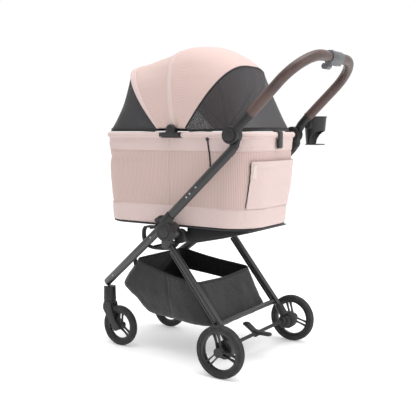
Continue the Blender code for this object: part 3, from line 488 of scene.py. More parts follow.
def evenly(points, count, closed=False):
    """Points spaced evenly along a line."""
    points = np.asarray(points, float)
    if closed:
        points = np.vstack([points, points[:1]])
    along = np.concatenate([[0], np.cumsum(np.linalg.norm(np.diff(points, axis=0), axis=1))])
    at = np.linspace(0, along[-1], count + 1)[:-1] if closed else np.linspace(0, along[-1], count)
    return np.stack([np.interp(at, along, points[:, k]) for k in range(points.shape[1])], axis=1)


def length_of(points):
    return float(np.linalg.norm(np.diff(np.asarray(points, float), axis=0), axis=1).sum())


def curve_through(points, count):
    """Smooth even line through a few points."""
    pts = np.asarray(points, float)
    pts = np.vstack([2 * pts[0] - pts[1], pts, 2 * pts[-1] - pts[-2]])
    out = []
    for a, b, c, d in zip(pts, pts[1:], pts[2:], pts[3:]):
        t = np.linspace(0, 1, 24, endpoint=False)[:, None]
        out.append(0.5 * (2 * b + (c - a) * t + (2 * a - 5 * b + 4 * c - d) * t ** 2
                          + (3 * b - a - 3 * c + d) * t ** 3))
    return evenly(np.vstack(out + [pts[-2:-1]]), count)


def unit(v):
    return v / np.maximum(np.linalg.norm(v, axis=-1, keepdims=True), 1e-12)


def tangents(path, closed=False):
    if closed:
        return unit(np.roll(path, -1, axis=0) - np.roll(path, 1, axis=0))
    return unit(np.gradient(path, axis=0))


def ribbon_mesh(path, lifts, width, height, closed=False, sides=12, round_ends=True, square=2.6):
    """Points, faces and cloth coordinates of a rounded band. lifts point out of its broad face."""
    path, t = np.asarray(path, float), tangents(np.asarray(path, float), closed)
    lifts = np.broadcast_to(np.asarray(lifts, float), path.shape)
    across = unit(np.cross(t, lifts))
    lifts = unit(np.cross(across, t))
    a = 2 * math.pi * np.arange(sides) / sides
    cx = np.sign(np.cos(a)) * np.abs(np.cos(a)) ** (2 / square) * width / 2
    cy = np.sign(np.sin(a)) * np.abs(np.sin(a)) ** (2 / square) * height / 2
    size = np.ones(len(path))
    if round_ends and not closed:
        size[0] = size[-1] = 0.72
    points = (path[:, None] + across[:, None] * cx[None, :, None] * size[:, None, None]
              + lifts[:, None] * cy[None, :, None] * size[:, None, None])
    rows = len(path)
    wrapped = np.concatenate([points, points[:1]], axis=0) if closed else points
    faces, i, j = grid_faces(rows + (1 if closed else 0), sides, True)
    if closed:
        faces = np.where(faces >= rows * sides, faces - rows * sides, faces)
    u = run_lengths(wrapped, 1, True)
    v = run_lengths(wrapped.mean(axis=1, keepdims=True), 0) * np.ones((1, sides + 1))
    corners = corner_uv(u, v, i, j).reshape(-1, 2)
    faces = [list(f) for f in faces[:, ::-1]]
    corners = corners.reshape(-1, 4, 2)[:, ::-1].reshape(-1, 2)
    if not closed:
        for ring in (range(sides), range((rows - 1) * sides, rows * sides)):
            ring = list(ring)
            faces.append(ring if ring[0] == 0 else ring[::-1])
            corners = np.vstack([corners, np.zeros((sides, 2))])
    return points.reshape(-1, 3), faces, corners


def close_ends(faces, corners, rows, sides):
    """Caps both ends of a swept tube."""
    last = rows * sides
    faces = [list(f) for f in faces] + [list(range(sides)), list(range(last - sides, last))[::-1]]
    return faces, np.vstack([corners, np.zeros((2 * sides, 2))])


def gather(parts):
    """Joins several (points, faces, corners) into one."""
    points, faces, corners, first = [], [], [], 0
    for p, f, c in parts:
        points.append(p)
        faces += [[index + first for index in face] for face in f]
        corners.append(c)
        first += len(p)
    return np.vstack(points), faces, np.vstack(corners)


def ribbon(name, path, lifts, width, height, finish, body, slot=None, **more):
    points, faces, corners = ribbon_mesh(path, lifts, width, height, **more)
    return piece(name, points, faces, finish, body, corners, 50.0)


def binding(name, path, lifts, width, height, body="carrier", **more):
    """Ribbon of black binding tape."""
    return ribbon(name, path, lifts, width, height, BINDING, body, "dark_fabric", **more)


def stitches(name, lines, finish, body, pitch=0.0052, length=0.0031, radius=0.00045):
    """Rows of small stitches. Each line is (path, outward directions)."""
    parts = []
    for path, lifts in lines:
        path = np.asarray(path, float)
        lifts = np.broadcast_to(np.asarray(lifts, float), path.shape)
        count = max(2, int(length_of(path) / pitch))
        even = evenly(np.hstack([path, lifts]), count * 2 + 1)
        spots, ups = even[1::2, :3], unit(even[1::2, 3:])
        ways = unit(even[2::2, :3] - even[:-2:2, :3])
        for spot, up, way in zip(spots, ups, ways):
            line = [spot + way * length * along + up * radius * high
                    for along, high in ((-0.5, -0.6), (-0.25, 0.5), (0.25, 0.5), (0.5, -0.6))]
            parts.append(ribbon_mesh(line, up, radius * 2.2, radius * 2.0, sides=5, square=2.0))
    points, faces, corners = gather(parts)
    return piece(name, points, faces, finish, body, corners, 180.0)


def face_outwards(obj):
    """Turns a closed mesh's faces outwards."""
    shape = bmesh.new()
    shape.from_mesh(obj.data)
    bmesh.ops.recalc_face_normals(shape, faces=shape.faces)
    shape.to_mesh(obj.data)
    shape.free()


def lathe_mesh(profile, centre, segments=64, axis=0, closed=True):
    """Ring or disc turned about X (axis 0), Y (1) or Z (2). profile: (along the axis, radius)."""
    profile = np.asarray(profile, float)
    a = 2 * math.pi * np.arange(segments) / segments
    ring = np.zeros((len(profile), segments, 3))
    one, two = [k for k in range(3) if k != axis]
    ring[:, :, axis] = profile[:, :1]
    ring[:, :, one] = profile[:, 1:] * np.cos(a)
    ring[:, :, two] = profile[:, 1:] * np.sin(a) * (-1 if axis == 1 else 1)
    ring += np.asarray(centre, float)
    rows = len(profile)
    faces, i, j = grid_faces(rows + (1 if closed else 0), segments, True)
    if closed:
        faces = np.where(faces >= rows * segments, faces - rows * segments, faces)
    faces = [list(f) for f in faces[:, ::-1]]
    if not closed:
        faces += [list(range(segments)), list(range((rows - 1) * segments, rows * segments))[::-1]]
    count = sum(len(f) for f in faces)
    return ring.reshape(-1, 3), faces, np.zeros((count, 2))


def noise_at(points, scale, seed=0.0):
    """Smooth noise from -1 to 1 at each point."""
    flat = np.asarray(points, float).reshape(-1, 3) * scale + seed
    return np.array([noise.noise(Vector(p)) for p in flat]).reshape(np.shape(points)[:-1])


def step(x, low, high):
    t = np.clip((x - low) / (high - low), 0, 1)
    return t * t * (3 - 2 * t)


def bell(x, width):
    return np.exp(-(x / width) ** 2)


# ---------------------------------------------------------------- carrier box

def outline(half, front, rear, r_front, r_rear, count, inset=0.0):
    """Even points round the box from the middle of the left side towards the rear, as (X, Y)."""
    half, front, rear = half - inset, front + inset, rear - inset
    corners = ((half - r_rear, rear - r_rear, r_rear, 0),
               (r_rear - half, rear - r_rear, r_rear, 90),
               (r_front - half, front + r_front, r_front, 180),
               (half - r_front, front + r_front, r_front, 270))
    points = [(half, -0.26)]
    for x, y, radius, start in corners:
        for a in np.radians(np.linspace(start, start + 90, 25)):
            points.append((x + radius * math.cos(a), y + radius * math.sin(a)))
    return evenly(points, count, closed=True)


def outline_at(share, count, inset=0.0):
    """The box's outline between its bottom (share 0) and its top (1)."""
    mixed = {key: low + (TOP_OUTLINE[key] - low) * share for key, low in BOTTOM_OUTLINE.items()}
    return outline(**mixed, count=count, inset=inset)


def wall_share(z):
    return np.interp(z, [BASE_Z, BASE_Z + 0.08, TUB_TOP - 0.02, TUB_TOP], [0.0, 0.25, 0.94, 1.0])


def wall_ring(z, count, inset=0.0):
    ring = outline_at(float(wall_share(z)), count, inset)
    return np.column_stack([ring, np.full(count, z)])


def ring_normals(ring):
    t = tangents(ring, closed=True)
    return unit(np.column_stack([t[:, 1], -t[:, 0], np.zeros(len(ring))]))


def wall_relief(points):
    """How far the sewn outer wall stands off its pattern: bands, seams, fullness and creases."""
    x, y, z = points[..., 0], points[..., 1], points[..., 2]
    beside = step(np.abs(x), 0.150, 0.172)
    hem = step(z, HEM_Z - 0.0012, HEM_Z + 0.0012)
    low_band = 1 - step(z, BAND_Z - 0.0012, BAND_Z + 0.0012)
    knit_part = (1 - hem) * (1 - low_band)
    full = np.sin(math.pi * np.clip((z - BAND_Z) / (HEM_Z - BAND_Z), 0, 1)) * knit_part
    seam = bell(y - SIDE_SEAM_Y - 0.012 * (z - 0.65), 0.0028) * beside * (1 - low_band)
    near_seam = bell(y - SIDE_SEAM_Y, 0.05) * beside
    relief = 0.0013 * hem + 0.0012 * low_band + 0.0032 * full * (1 - 0.8 * near_seam)
    folds = bell(z - HEM_Z + 0.0016, 0.0018), bell(z - BAND_Z - 0.0016, 0.0018)
    relief -= 0.0024 * seam + 0.0011 * folds[0] + 0.0011 * folds[1]
    front = step(-y, 0.300, 0.420)
    stretched = points * np.array([1.0, 1.0, 2.4])
    relief += 0.0022 * noise_at(stretched, 9.0, 3.1) * (0.35 + 0.9 * front) * (0.4 + 0.6 * knit_part)
    relief += 0.0011 * noise_at(points * np.array([1.0, 1.0, 0.35]), 34.0, 7.7) * (0.35 + 0.65 * hem)
    relief += 0.0006 * noise_at(points, 60.0, 1.3)
    slump = bell(z - 0.770 + 0.03 * (y + 0.45), 0.009) * front
    relief += 0.0035 * slump * (0.6 + 0.4 * noise_at(points, 12.0, 5.0))
    relief -= 0.0030 * bell(z - 0.725, 0.014) * front
    return relief * step(z, BASE_Z, BASE_Z + 0.012)


def make_tub():
    """The carrier's quilted walls, outside and inside, as one closed body."""
    count = 420
    heights = np.concatenate([[BASE_Z, BASE_Z + 0.0006, BASE_Z + 0.002, BASE_Z + 0.0045],
                              np.linspace(BASE_Z + 0.008, 0.742, 74), np.linspace(0.744, TUB_TOP, 30)])
    insets = [0.0045, 0.0022, 0.0009, 0.0002] + [0.0] * 104
    rows = []
    for z, inset in zip(heights, insets):
        ring = wall_ring(z, count, inset)
        rows.append(ring + ring_normals(ring) * wall_relief(ring)[:, None])
    inner = []
    for z in np.linspace(TUB_TOP, BASE_Z + 0.0032, 26):
        ring = wall_ring(z, count, 0.0034)
        inner.append(ring + ring_normals(ring) * (0.0012 * noise_at(ring, 14.0, 9.0) - 0.0006)[:, None])
    points = np.array(rows + inner)
    faces, i, j = grid_faces(len(points), count, True)
    u = run_lengths(np.array([rows[50]]), 1, True) * np.ones((len(points), 1))
    down = np.concatenate([heights, np.linspace(TUB_TOP, BASE_Z, 26)])
    v = down[:, None] * np.ones((1, count + 1))
    corners = corner_uv(u, v, i, j).reshape(-1, 2)
    faces = [list(f) for f in faces]
    last = (len(points) - 1) * count
    faces += [list(range(count))[::-1], list(range(last, last + count))]
    corners = np.vstack([corners, np.zeros((2 * count, 2))])
    made = piece("carrier_cloth", points.reshape(-1, 3), faces, KNIT, "carrier", corners, 60.0)
    made.data.materials.append(SMOOTH)
    made.data.materials.append(PINK_IN_SHADE)
    centre_z = (down[i] + down[i + 1]) / 2
    which = np.where((centre_z > HEM_Z) | (centre_z < BAND_Z), 1, 0)
    # The top lip and the inside walls take the darker pink: painted shade.
    which = np.where(i >= len(rows) - 1, 2, which)
    made.data.polygons.foreach_set("material_index", np.concatenate([which, [1, 2]]).astype(np.int32))
    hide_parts("carrier_tub")


def wall_line(z):
    """Line round the outer wall at one height, just off the cloth, and its outward directions."""
    ring = wall_ring(z, 900)
    away = ring_normals(ring)
    return ring + away * (wall_relief(ring) + 0.0001)[:, None], away


def make_tub_trim():
    """Stitching along both bands and down the side seams."""
    rows = [wall_line(z) for z in (HEM_Z + 0.0028, BAND_Z - 0.0028, UPPER_ROW_Z)]
    stitches("carrier_stitching", rows, THREAD, "carrier", 0.0052, 0.0034, 0.00042)
    for label, side in SIDES:
        z = np.linspace(BAND_Z + 0.003, 0.790, 90)
        edge = []
        for height in z:
            ring = wall_ring(height, 900)
            near = ring[(ring[:, 0] * side > 0)]
            target = SIDE_SEAM_Y + 0.012 * (height - 0.65) + 0.0052
            spot = near[np.argmin(np.abs(near[:, 1] - target))]
            spot = np.array([spot[0], target, height])
            edge.append(spot + np.array([side, 0, 0]) * (wall_relief(spot[None])[0] + 0.0001))
        line = [(np.array(edge), (side, 0, 0))]
        stitches("side_seam_stitching_" + label, line, THREAD, "carrier", 0.0050)


def make_rim():
    """Cloth sleeves round the rim, open at the canopy hinges where the black core shows."""
    ring = outline_at(1.0, 1200)
    ring = np.column_stack([ring, np.full(len(ring), RIM_Z)])
    low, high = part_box("canopy_bracket_left")
    gap = low.y - ORIGIN[1] - 0.0010, high.y - ORIGIN[1] + 0.0010
    rear = ring[(ring[:, 1] > gap[1])]
    rear = rear[np.argsort(np.arctan2(rear[:, 0], rear[:, 1] + 0.1))][::-1]
    front = ring[(ring[:, 1] < gap[0])]
    front = front[np.argsort(np.arctan2(front[:, 0], -front[:, 1] - 0.4))]
    for name, path in (("rim_sleeve_rear", rear), ("rim_sleeve_front", front)):
        path = evenly(path, 260)
        sides, total = 22, len(path)
        t = tangents(path)
        out = unit(np.column_stack([t[:, 1], -t[:, 0], np.zeros(total)]))
        if (out * (path - path.mean(axis=0)))[:, :2].sum() < 0:
            out = -out
        a = 2 * math.pi * np.arange(sides) / sides
        upwards = np.array([0, 0, 1.0])
        shape = out[:, None] * np.cos(a)[None, :, None] + upwards * np.sin(a)[None, :, None]
        radius = RIM_RADIUS + 0.0007 + 0.0006 * noise_at(path[:, None] + shape * 0.01, 55.0)
        ends = np.minimum(np.arange(total), total - 1 - np.arange(total))
        radius -= (0.0028 * np.exp(-ends / 1.6))[:, None]
        radius += 0.0012 * bell(a[None, :] - 1.5 * math.pi, 0.30)
        points = path[:, None] + shape * radius[:, :, None]
        faces, i, j = grid_faces(total, sides, True)
        along = run_lengths(path[:, None], 0) * np.ones((1, sides + 1))
        round_it = np.linspace(0, 2 * math.pi * RIM_RADIUS, sides + 1)[None, :] * np.ones((total, 1))
        corners = corner_uv(along, round_it, i, j).reshape(-1, 2)
        faces, corners = close_ends(faces, corners, total, sides)
        made = piece(name, points.reshape(-1, 3), faces, SMOOTH, "carrier", corners, 60.0)
        face_outwards(made)
        if name == "rim_sleeve_rear":
            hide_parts("carrier_rim")
        down = np.array([0, 0, -1.0])
        row = path + out * (RIM_RADIUS + 0.0006) * 0.86 + down * (RIM_RADIUS + 0.0006) * 0.50
        away = unit(out + np.array([0, 0, -0.55]))
        stitches(name + "_stitching", [(row[4:-4], away[4:-4])], THREAD, "carrier")
    for label, side in SIDES:
        y = np.linspace(gap[0] - 0.004, gap[1] + 0.004, 12)
        path = np.column_stack([np.full(12, TOP_OUTLINE["half"] * side), y, np.full(12, RIM_Z)])
        ribbon("rim_core_" + label, path, (0, 0, 1), 0.0165, 0.0165, PLASTIC, "carrier", "plastic",
               square=2.0, sides=20)


# ---------------------------------------------------------------- canopy

def arch(spec):
    """Even points of a superellipse arch across the carrier, from the left foot to the right one."""
    foot_y, lean, rise, squareness = spec
    lean = math.radians(lean)
    trim = math.asin((ARCH_LIFT / rise) ** (squareness / 2))
    a = np.linspace(trim, math.pi - trim, 721)
    x = ARCH_HALF * np.sign(np.cos(a)) * np.abs(np.cos(a)) ** (2 / squareness)
    up = rise * np.abs(np.sin(a)) ** (2 / squareness)
    line = np.column_stack([x, foot_y + up * math.sin(lean), ARCH_FOOT_Z + up * math.cos(lean)])
    return evenly(line, ARCH_POINTS)


def between_arches(specs, rows):
    """Smooth sheet through several arches: their numbers follow one polynomial."""
    knots = np.linspace(0, 1, len(specs))
    fits = [np.polyfit(knots, [spec[k] for spec in specs], len(specs) - 1) for k in range(4)]
    shares = np.linspace(0, 1, rows)
    return np.array([arch([float(np.polyval(fit, t)) for fit in fits]) for t in shares])


def outward(points, n):
    """The directions n, turned away from the middle of the cabin."""
    middle = np.array([0.0, -0.25, 0.90])
    return n if ((points - middle) * n).sum() > 0 else -n


def make_canopy():
    """Both canopy cloths with their bands, casings and bindings."""
    front_rows, rear_rows = 34, 44
    before, behind = [(MIDDLE_ARCH[0] + gap, *MIDDLE_ARCH[1:]) for gap in (-0.0012, 0.0012)]
    front = between_arches([FRONT_ARCH, VALLEY_ARCH, before], front_rows)
    rear = between_arches([behind, CROWN_ARCH, BACK_ARCH, REAR_ARCH], rear_rows)
    share_front = np.linspace(0, 1, front_rows)[:, None]
    share_rear = np.linspace(0, 1, rear_rows)[:, None]
    column = np.arange(ARCH_POINTS)
    foot = np.minimum(column, ARCH_POINTS - 1 - column)[None, :] / 60.0
    sheets = []
    for points, share, seed in ((front, share_front, 2.0), (rear, share_rear, 6.0)):
        n = outward(points, surface_normals(points))
        slack = np.sin(math.pi * share) * (0.25 + 0.75 * foot)
        pulls = noise_at(points * np.array([1.6, 0.5, 1.0]), 16.0, seed) * 0.0030 * slack
        small = noise_at(points, 42.0, seed + 4) * 0.0007
        near_foot = 0.0022 * np.sin(share * 5 * math.pi) * np.exp(-foot * 9.0) * np.sin(math.pi * share)
        sheets.append(points + n * (pulls + small + near_foot)[..., None])
    front, rear = sheets
    front_cloth = cloth("canopy_front_cloth", front, 0.0013, CANOPY, None)
    rear_cloth = cloth("canopy_rear_cloth", rear, 0.0013, CANOPY, None)
    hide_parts("canopy_front_panel")
    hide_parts("canopy_rear_panel")
    weights = np.repeat(1.0 - 0.5 * step(share_front[:, 0], 0.06, 0.97), ARCH_POINTS)
    bend(front_cloth, weights)
    weights = np.repeat(1.0 - step(share_rear[:, 0], 0.03, 0.97), ARCH_POINTS)
    bend(rear_cloth, weights)

    n_front = outward(front, surface_normals(front))
    n_rear = outward(rear, surface_normals(rear))
    band = front[:5] + n_front[:5] * 0.0011
    edge = front[0] + n_front[0] * 0.0009 - 0.0022 * unit(front[3] - front[0])
    cloth("canopy_front_band", np.concatenate([edge[None], band]), 0.0012, SMOOTH, "canopy_front")
    beyond = front[0] - unit(front[2] - front[0]) * 0.0010
    binding("canopy_front_piping", beyond, n_front[0], 0.0042, 0.0034, "canopy_front")
    rows = [(front[k] + n_front[k] * 0.0013, n_front[k]) for k in (1, 4)]
    stitches("canopy_front_stitching", rows, THREAD, "canopy_front")

    path = (front[-1] + rear[0]) / 2 + n_rear[0] * 0.0006
    ribbon("canopy_middle_casing", path, n_rear[0], 0.0205, 0.0046, SMOOTH, "canopy_middle", "fabric")
    across = unit(np.cross(tangents(path), n_rear[0]))
    rows = [(path + across * s * 0.0072 + n_rear[0] * 0.0021, n_rear[0]) for s in (-1, 1)]
    stitches("canopy_middle_stitching", rows, THREAD, "canopy_middle")

    path = rear[-1] + unit(rear[-1] - rear[-3]) * 0.0012
    binding("canopy_rear_binding", path, n_rear[-1], 0.0076, 0.0040)
    rows = [(rear[-3] + n_rear[-3] * 0.0003, n_rear[-3])]
    stitches("canopy_rear_stitching", rows, THREAD, "carrier")
    k = int(rear_rows * 0.72)
    path = rear[k] - n_rear[k] * 0.0040
    # The inner casing takes the darker pink: painted shade.
    ribbon("canopy_inner_casing", path, n_rear[k], 0.0260, 0.0034, PINK_IN_SHADE, "carrier", "fabric")


def rim_line(front, inset):
    """Points on top of the rim, from the left foot of an end arch round to the right one."""
    foot = FRONT_ARCH[0] if front else REAR_ARCH[0]
    ring = outline_at(1.0, 1600, inset)
    keep = ring[ring[:, 1] < foot] if front else ring[ring[:, 1] > foot]
    centre = np.array([0.0, foot])
    angle = np.arctan2((keep - centre)[:, 0], np.abs((keep - centre)[:, 1]))
    keep = keep[np.argsort(-angle)]
    line = np.column_stack([keep, np.full(len(keep), MESH_FOOT_Z - 0.0030)])
    return evenly(line, ARCH_POINTS)


def make_nets():
    """Netting from each end arch down to the rim, with a black hem on the rim."""
    share = np.linspace(0, 1, NET_ROWS)
    across = np.sin(math.pi * np.linspace(0, 1, ARCH_POINTS))[None, :]
    for end, spec, finish, sag in (("front", FRONT_ARCH, NET_FRONT, 0.010),
                                   ("rear", REAR_ARCH, NET_REAR, 0.004)):
        front = end == "front"
        moved = (spec[0] + (-0.0030 if front else 0.0030), spec[1], spec[2] - 0.002, spec[3])
        edge = arch(moved)
        line = rim_line(front, 0.0020 if front else 0.0085)
        points = edge[None] * (1 - share[:, None, None]) + line[None] * share[:, None, None]
        n = outward(points, surface_normals(points))
        depth = np.sin(math.pi * share[:, None]) * across
        points = points - n * (sag * depth)[..., None]
        points = points + n * (0.0012 * noise_at(points, 18.0, 4.0) * depth)[..., None]
        made = cloth(end + "_net", points[:, 1:-1], 0.0006, finish, None)
        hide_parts("front_mesh" if front else "rear_mesh")
        hem = points[-2]
        side = outward(hem, unit(np.cross(tangents(hem), [0, 0, 1.0])))
        if front:
            weights = np.repeat(1.0 - step(share, 0.04, 0.92), ARCH_POINTS - 2)
            bend(made, weights)
        else:
            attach(made, "carrier")
        raised = hem[2:-2] + np.array([0, 0, 0.0010])
        band = binding(end + "_net_hem", raised, side[2:-2], 0.0080, 0.0030)


# ---------------------------------------------------------------- pockets and straps

def end_panel(rear, half, low, high):
    """Grid on the outside of the rear or front wall, between two heights, from left to right."""
    rows, cols, stand = 34, 60, 0.0012
    out, away = [], []
    for z in np.linspace(high, low, rows):
        ring = wall_ring(z, 1400)
        n = ring_normals(ring)
        ring = ring + n * (wall_relief(ring) + stand)[:, None]
        pick = (ring[:, 1] > -0.05) if rear else (ring[:, 1] < -0.46)
        pick &= np.abs(ring[:, 0]) < half
        order = np.argsort(-ring[pick, 0])
        both = evenly(np.hstack([ring[pick][order], n[pick][order]]), cols)
        out.append(both[:, :3])
        away.append(unit(both[:, 3:]))
    return np.array(out), np.array(away)


def make_pockets():
    """Sewn-on pockets on the rear and the front wall."""
    for name, rear, half, low, high in (("rear_pocket_cloth", True, 0.145, 0.5560, 0.7180),
                                        ("front_pocket_cloth", False, 0.118, 0.5640, 0.7020)):
        grid, away = end_panel(rear, half, low, high)
        down = np.linspace(0, 1, grid.shape[0])[:, None]
        over = np.linspace(0, 1, grid.shape[1])[None, :]
        belly = np.sin(math.pi * np.clip(over * 1.02, 0, 1)) ** 0.55
        full = (0.0065 if rear else 0.0055) * belly * (1 - down ** 2.2) + 0.0006
        if rear:
            full = full + 0.0050 * np.exp(-over / 0.05) * (1 - down) ** 0.6
        inside = np.sin(math.pi * np.clip(down, 0.02, 0.98)) * belly
        full = full + 0.0011 * noise_at(grid, 18.0, 2.5) * inside
        hem = 1 - step(down, 0.135, 0.15)
        full = full + 0.0011 * hem - 0.0009 * bell(down - 0.155, 0.012)
        points = grid + away * full[..., None]
        made = cloth(name, points, 0.0018, SMOOTH, "carrier")
        raised = points + away * 0.0002
        rows = [(raised[k, 1:-1], away[k, 1:-1]) for k in (5, -2, 1)]
        rows += [(raised[6:, k], away[6:, k]) for k in (1, -2)]
        sewn = stitches(name.replace("cloth", "stitching"), rows, THREAD, "carrier", 0.0050)
        if rear:
            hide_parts("rear_pocket")
            side = points[:, 0] - away[:, 0] * 0.0022
            gusset = binding("rear_pocket_gusset", side[2:-1], away[2:-1, 0], 0.0050, 0.0045)
            spot = points[2:13, 2:7] + away[2:13, 2:7] * 0.0016
            tab = cloth("rear_pocket_tab", spot, 0.0010, TAB, "carrier")


def make_side_straps():
    """Black webbing with a ladder buckle on each side wall."""
    for label, side in SIDES:
        z = np.linspace(0.7970, 0.6960, 28)
        y = np.interp(z, [0.695, 0.797], [-0.0890, -0.1015])
        path = []
        for height, place in zip(z, y):
            ring = wall_ring(height, 900)
            near = ring[ring[:, 0] * side > 0]
            x = near[np.argmin(np.abs(near[:, 1] - place)), 0]
            spot = np.array([x, place, height])
            path.append(spot + np.array([side, 0, 0]) * (wall_relief(spot[None])[0] + 0.0012))
        path, out = np.array(path), np.array([side, 0, 0])
        binding("side_strap_" + label, path, out, 0.0062, 0.0018, square=4.0)
        ribbon("side_buckle_" + label, path[:4] + out * 0.0016, out, 0.0120, 0.0036, SMALL_PLASTIC,
               "carrier", "plastic", square=5.0)
        ribbon("side_pull_" + label, path[-4:] + out * 0.0014, out, 0.0080, 0.0030, SMALL_PLASTIC,
               "carrier", "plastic")


SWELL_PRESSURE = 4.0
SWELL_FRAMES = 20
MOST_SWELL = 0.0045  # furthest that a point of the mat may travel
TUFT_PITCH = 0.088, 0.100


def make_mat():
    """Padded floor mat, filled by a short cloth simulation, with a sewn border."""
    count = 220
    ring = outline_at(0.03, count, 0.017)
    low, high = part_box("floor_mat")
    z0, z1 = low.z + 0.0015, high.z - 0.0055
    middle = (z0 + z1) / 2
    levels = ((0.995, z0), (1.0, middle - 0.0012), (1.0, middle + 0.0012), (0.995, z1))
    points = np.concatenate([np.column_stack([ring * size, np.full(count, z)]) for size, z in levels])
    faces, _, _ = grid_faces(4, count, True)
    faces = [list(f) for f in faces] + [list(range(count))[::-1], list(range(3 * count, 4 * count))]
    made = piece("floor_pad", points, faces, MAT, None, None, 180.0)
    remesh = made.modifiers.new("even", "REMESH")
    remesh.mode = "VOXEL"
    remesh.voxel_size = 0.006
    settle(made)
    face_outwards(made)
    start = np.array([v.co for v in made.data.vertices], float)
    swell = made.modifiers.new("swell", "CLOTH")
    swell.settings.use_pressure = True
    swell.settings.uniform_pressure_force = SWELL_PRESSURE
    swell.settings.effector_weights.gravity = 0.0
    swell.settings.quality = 4
    for number in range(1, SWELL_FRAMES + 1):
        bpy.context.scene.frame_set(number)
    settle(made)
    bpy.context.scene.frame_set(1)
    moved = np.array([v.co for v in made.data.vertices], float)
    shift = moved - start
    size = np.linalg.norm(shift, axis=1, keepdims=True)
    moved = start + shift * np.minimum(1.0, MOST_SWELL / np.maximum(size, 1e-9))
    made.data.vertices.foreach_set("co", moved.astype(np.float32).ravel())
    co = np.array([v.co for v in made.data.vertices], float) - ORIGIN
    turns = 2 * math.pi * (co[:, :2] + (0, 0.26)) / TUFT_PITCH
    tufts = 0.5 + 0.5 * np.cos(turns[:, 0]) * np.cos(turns[:, 1])
    top = co[:, 2] > middle
    co[:, 2] -= np.where(top, 0.0022 * (1 - tufts ** 0.5), 0.0)
    co[:, 2] = np.clip(co[:, 2], low.z, high.z)
    made.data.vertices.foreach_set("co", (co + ORIGIN).astype(np.float32).ravel())
    made.data.update()
    made.data.shade_smooth()
    made.data.materials.clear()
    made.data.materials.append(MAT)
    set_cloth_map(made.data, co[:, :2])
    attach(made, "carrier")
    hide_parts("floor_mat")
    loop = np.column_stack([outline_at(0.03, 260, 0.0165), np.full(260, middle)])
    binding("floor_pad_piping", loop, (0, 0, 1), 0.0040, 0.0040, closed=True, square=2.0)


# ---------------------------------------------------------------- basket

# front Y, rear Y, half width at the front and rear, Z at the front and rear, corner radius
BASKET_LEVELS = ((-0.445, -0.146, 0.152, 0.1860, 0.3440, 0.2900, 0.030),
                 (-0.478, -0.128, 0.152, 0.1860, 0.3000, 0.2560, 0.034),
                 (-0.512, -0.104, 0.150, 0.1850, 0.2600, 0.2160, 0.040),
                 (-0.523, -0.086, 0.148, 0.1840, 0.2360, 0.1880, 0.044),
                 (-0.500, -0.070, 0.147, 0.1830, 0.2160, 0.1640, 0.046),
                 (-0.470, -0.064, 0.146, 0.1810, 0.1960, 0.1500, 0.048),
                 (-0.440, -0.070, 0.145, 0.1770, 0.1640, 0.1420, 0.050),
                 (-0.418, -0.088, 0.140, 0.1680, 0.1450, 0.1380, 0.050),
                 (-0.390, -0.115, 0.120, 0.1440, 0.1385, 0.1362, 0.045),
                 (-0.330, -0.170, 0.070, 0.0900, 0.1365, 0.1355, 0.035),
                 (-0.270, -0.230, 0.020, 0.0260, 0.1360, 0.1355, 0.012))

# Opening in the right wall: its Y range, and (Y, Z) along its upper and lower edge
WINDOW_FRONT, WINDOW_REAR = -0.432, -0.135
WINDOW_TOP = ((-0.445, 0.262), (-0.250, 0.238), (-0.150, 0.226))
WINDOW_BOTTOM = ((-0.455, 0.240), (-0.400, 0.168), (-0.150, 0.160))


def basket_loop(level, count):
    """One closed ring of the basket."""
    front, rear, half_front, half_rear, z_front, z_rear, radius = level
    half = max(half_front, half_rear)
    loop = outline(half, front, rear, radius, radius, count)
    share = np.clip((loop[:, 1] - front) / (rear - front), 0, 1)
    width = half_front + (half_rear - half_front) * np.clip(share / 0.75, 0, 1)
    z = z_front + (z_rear - z_front) * share ** 0.9
    return np.column_stack([loop[:, 0] * width / half, loop[:, 1], z])


def fold_with_legs(obj):
    """Bakes a piece of the basket's placement into its points."""
    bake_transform(obj)


def height_on(line, y):
    """Z at each Y along one edge of the window."""
    return np.interp(y, *zip(*line))


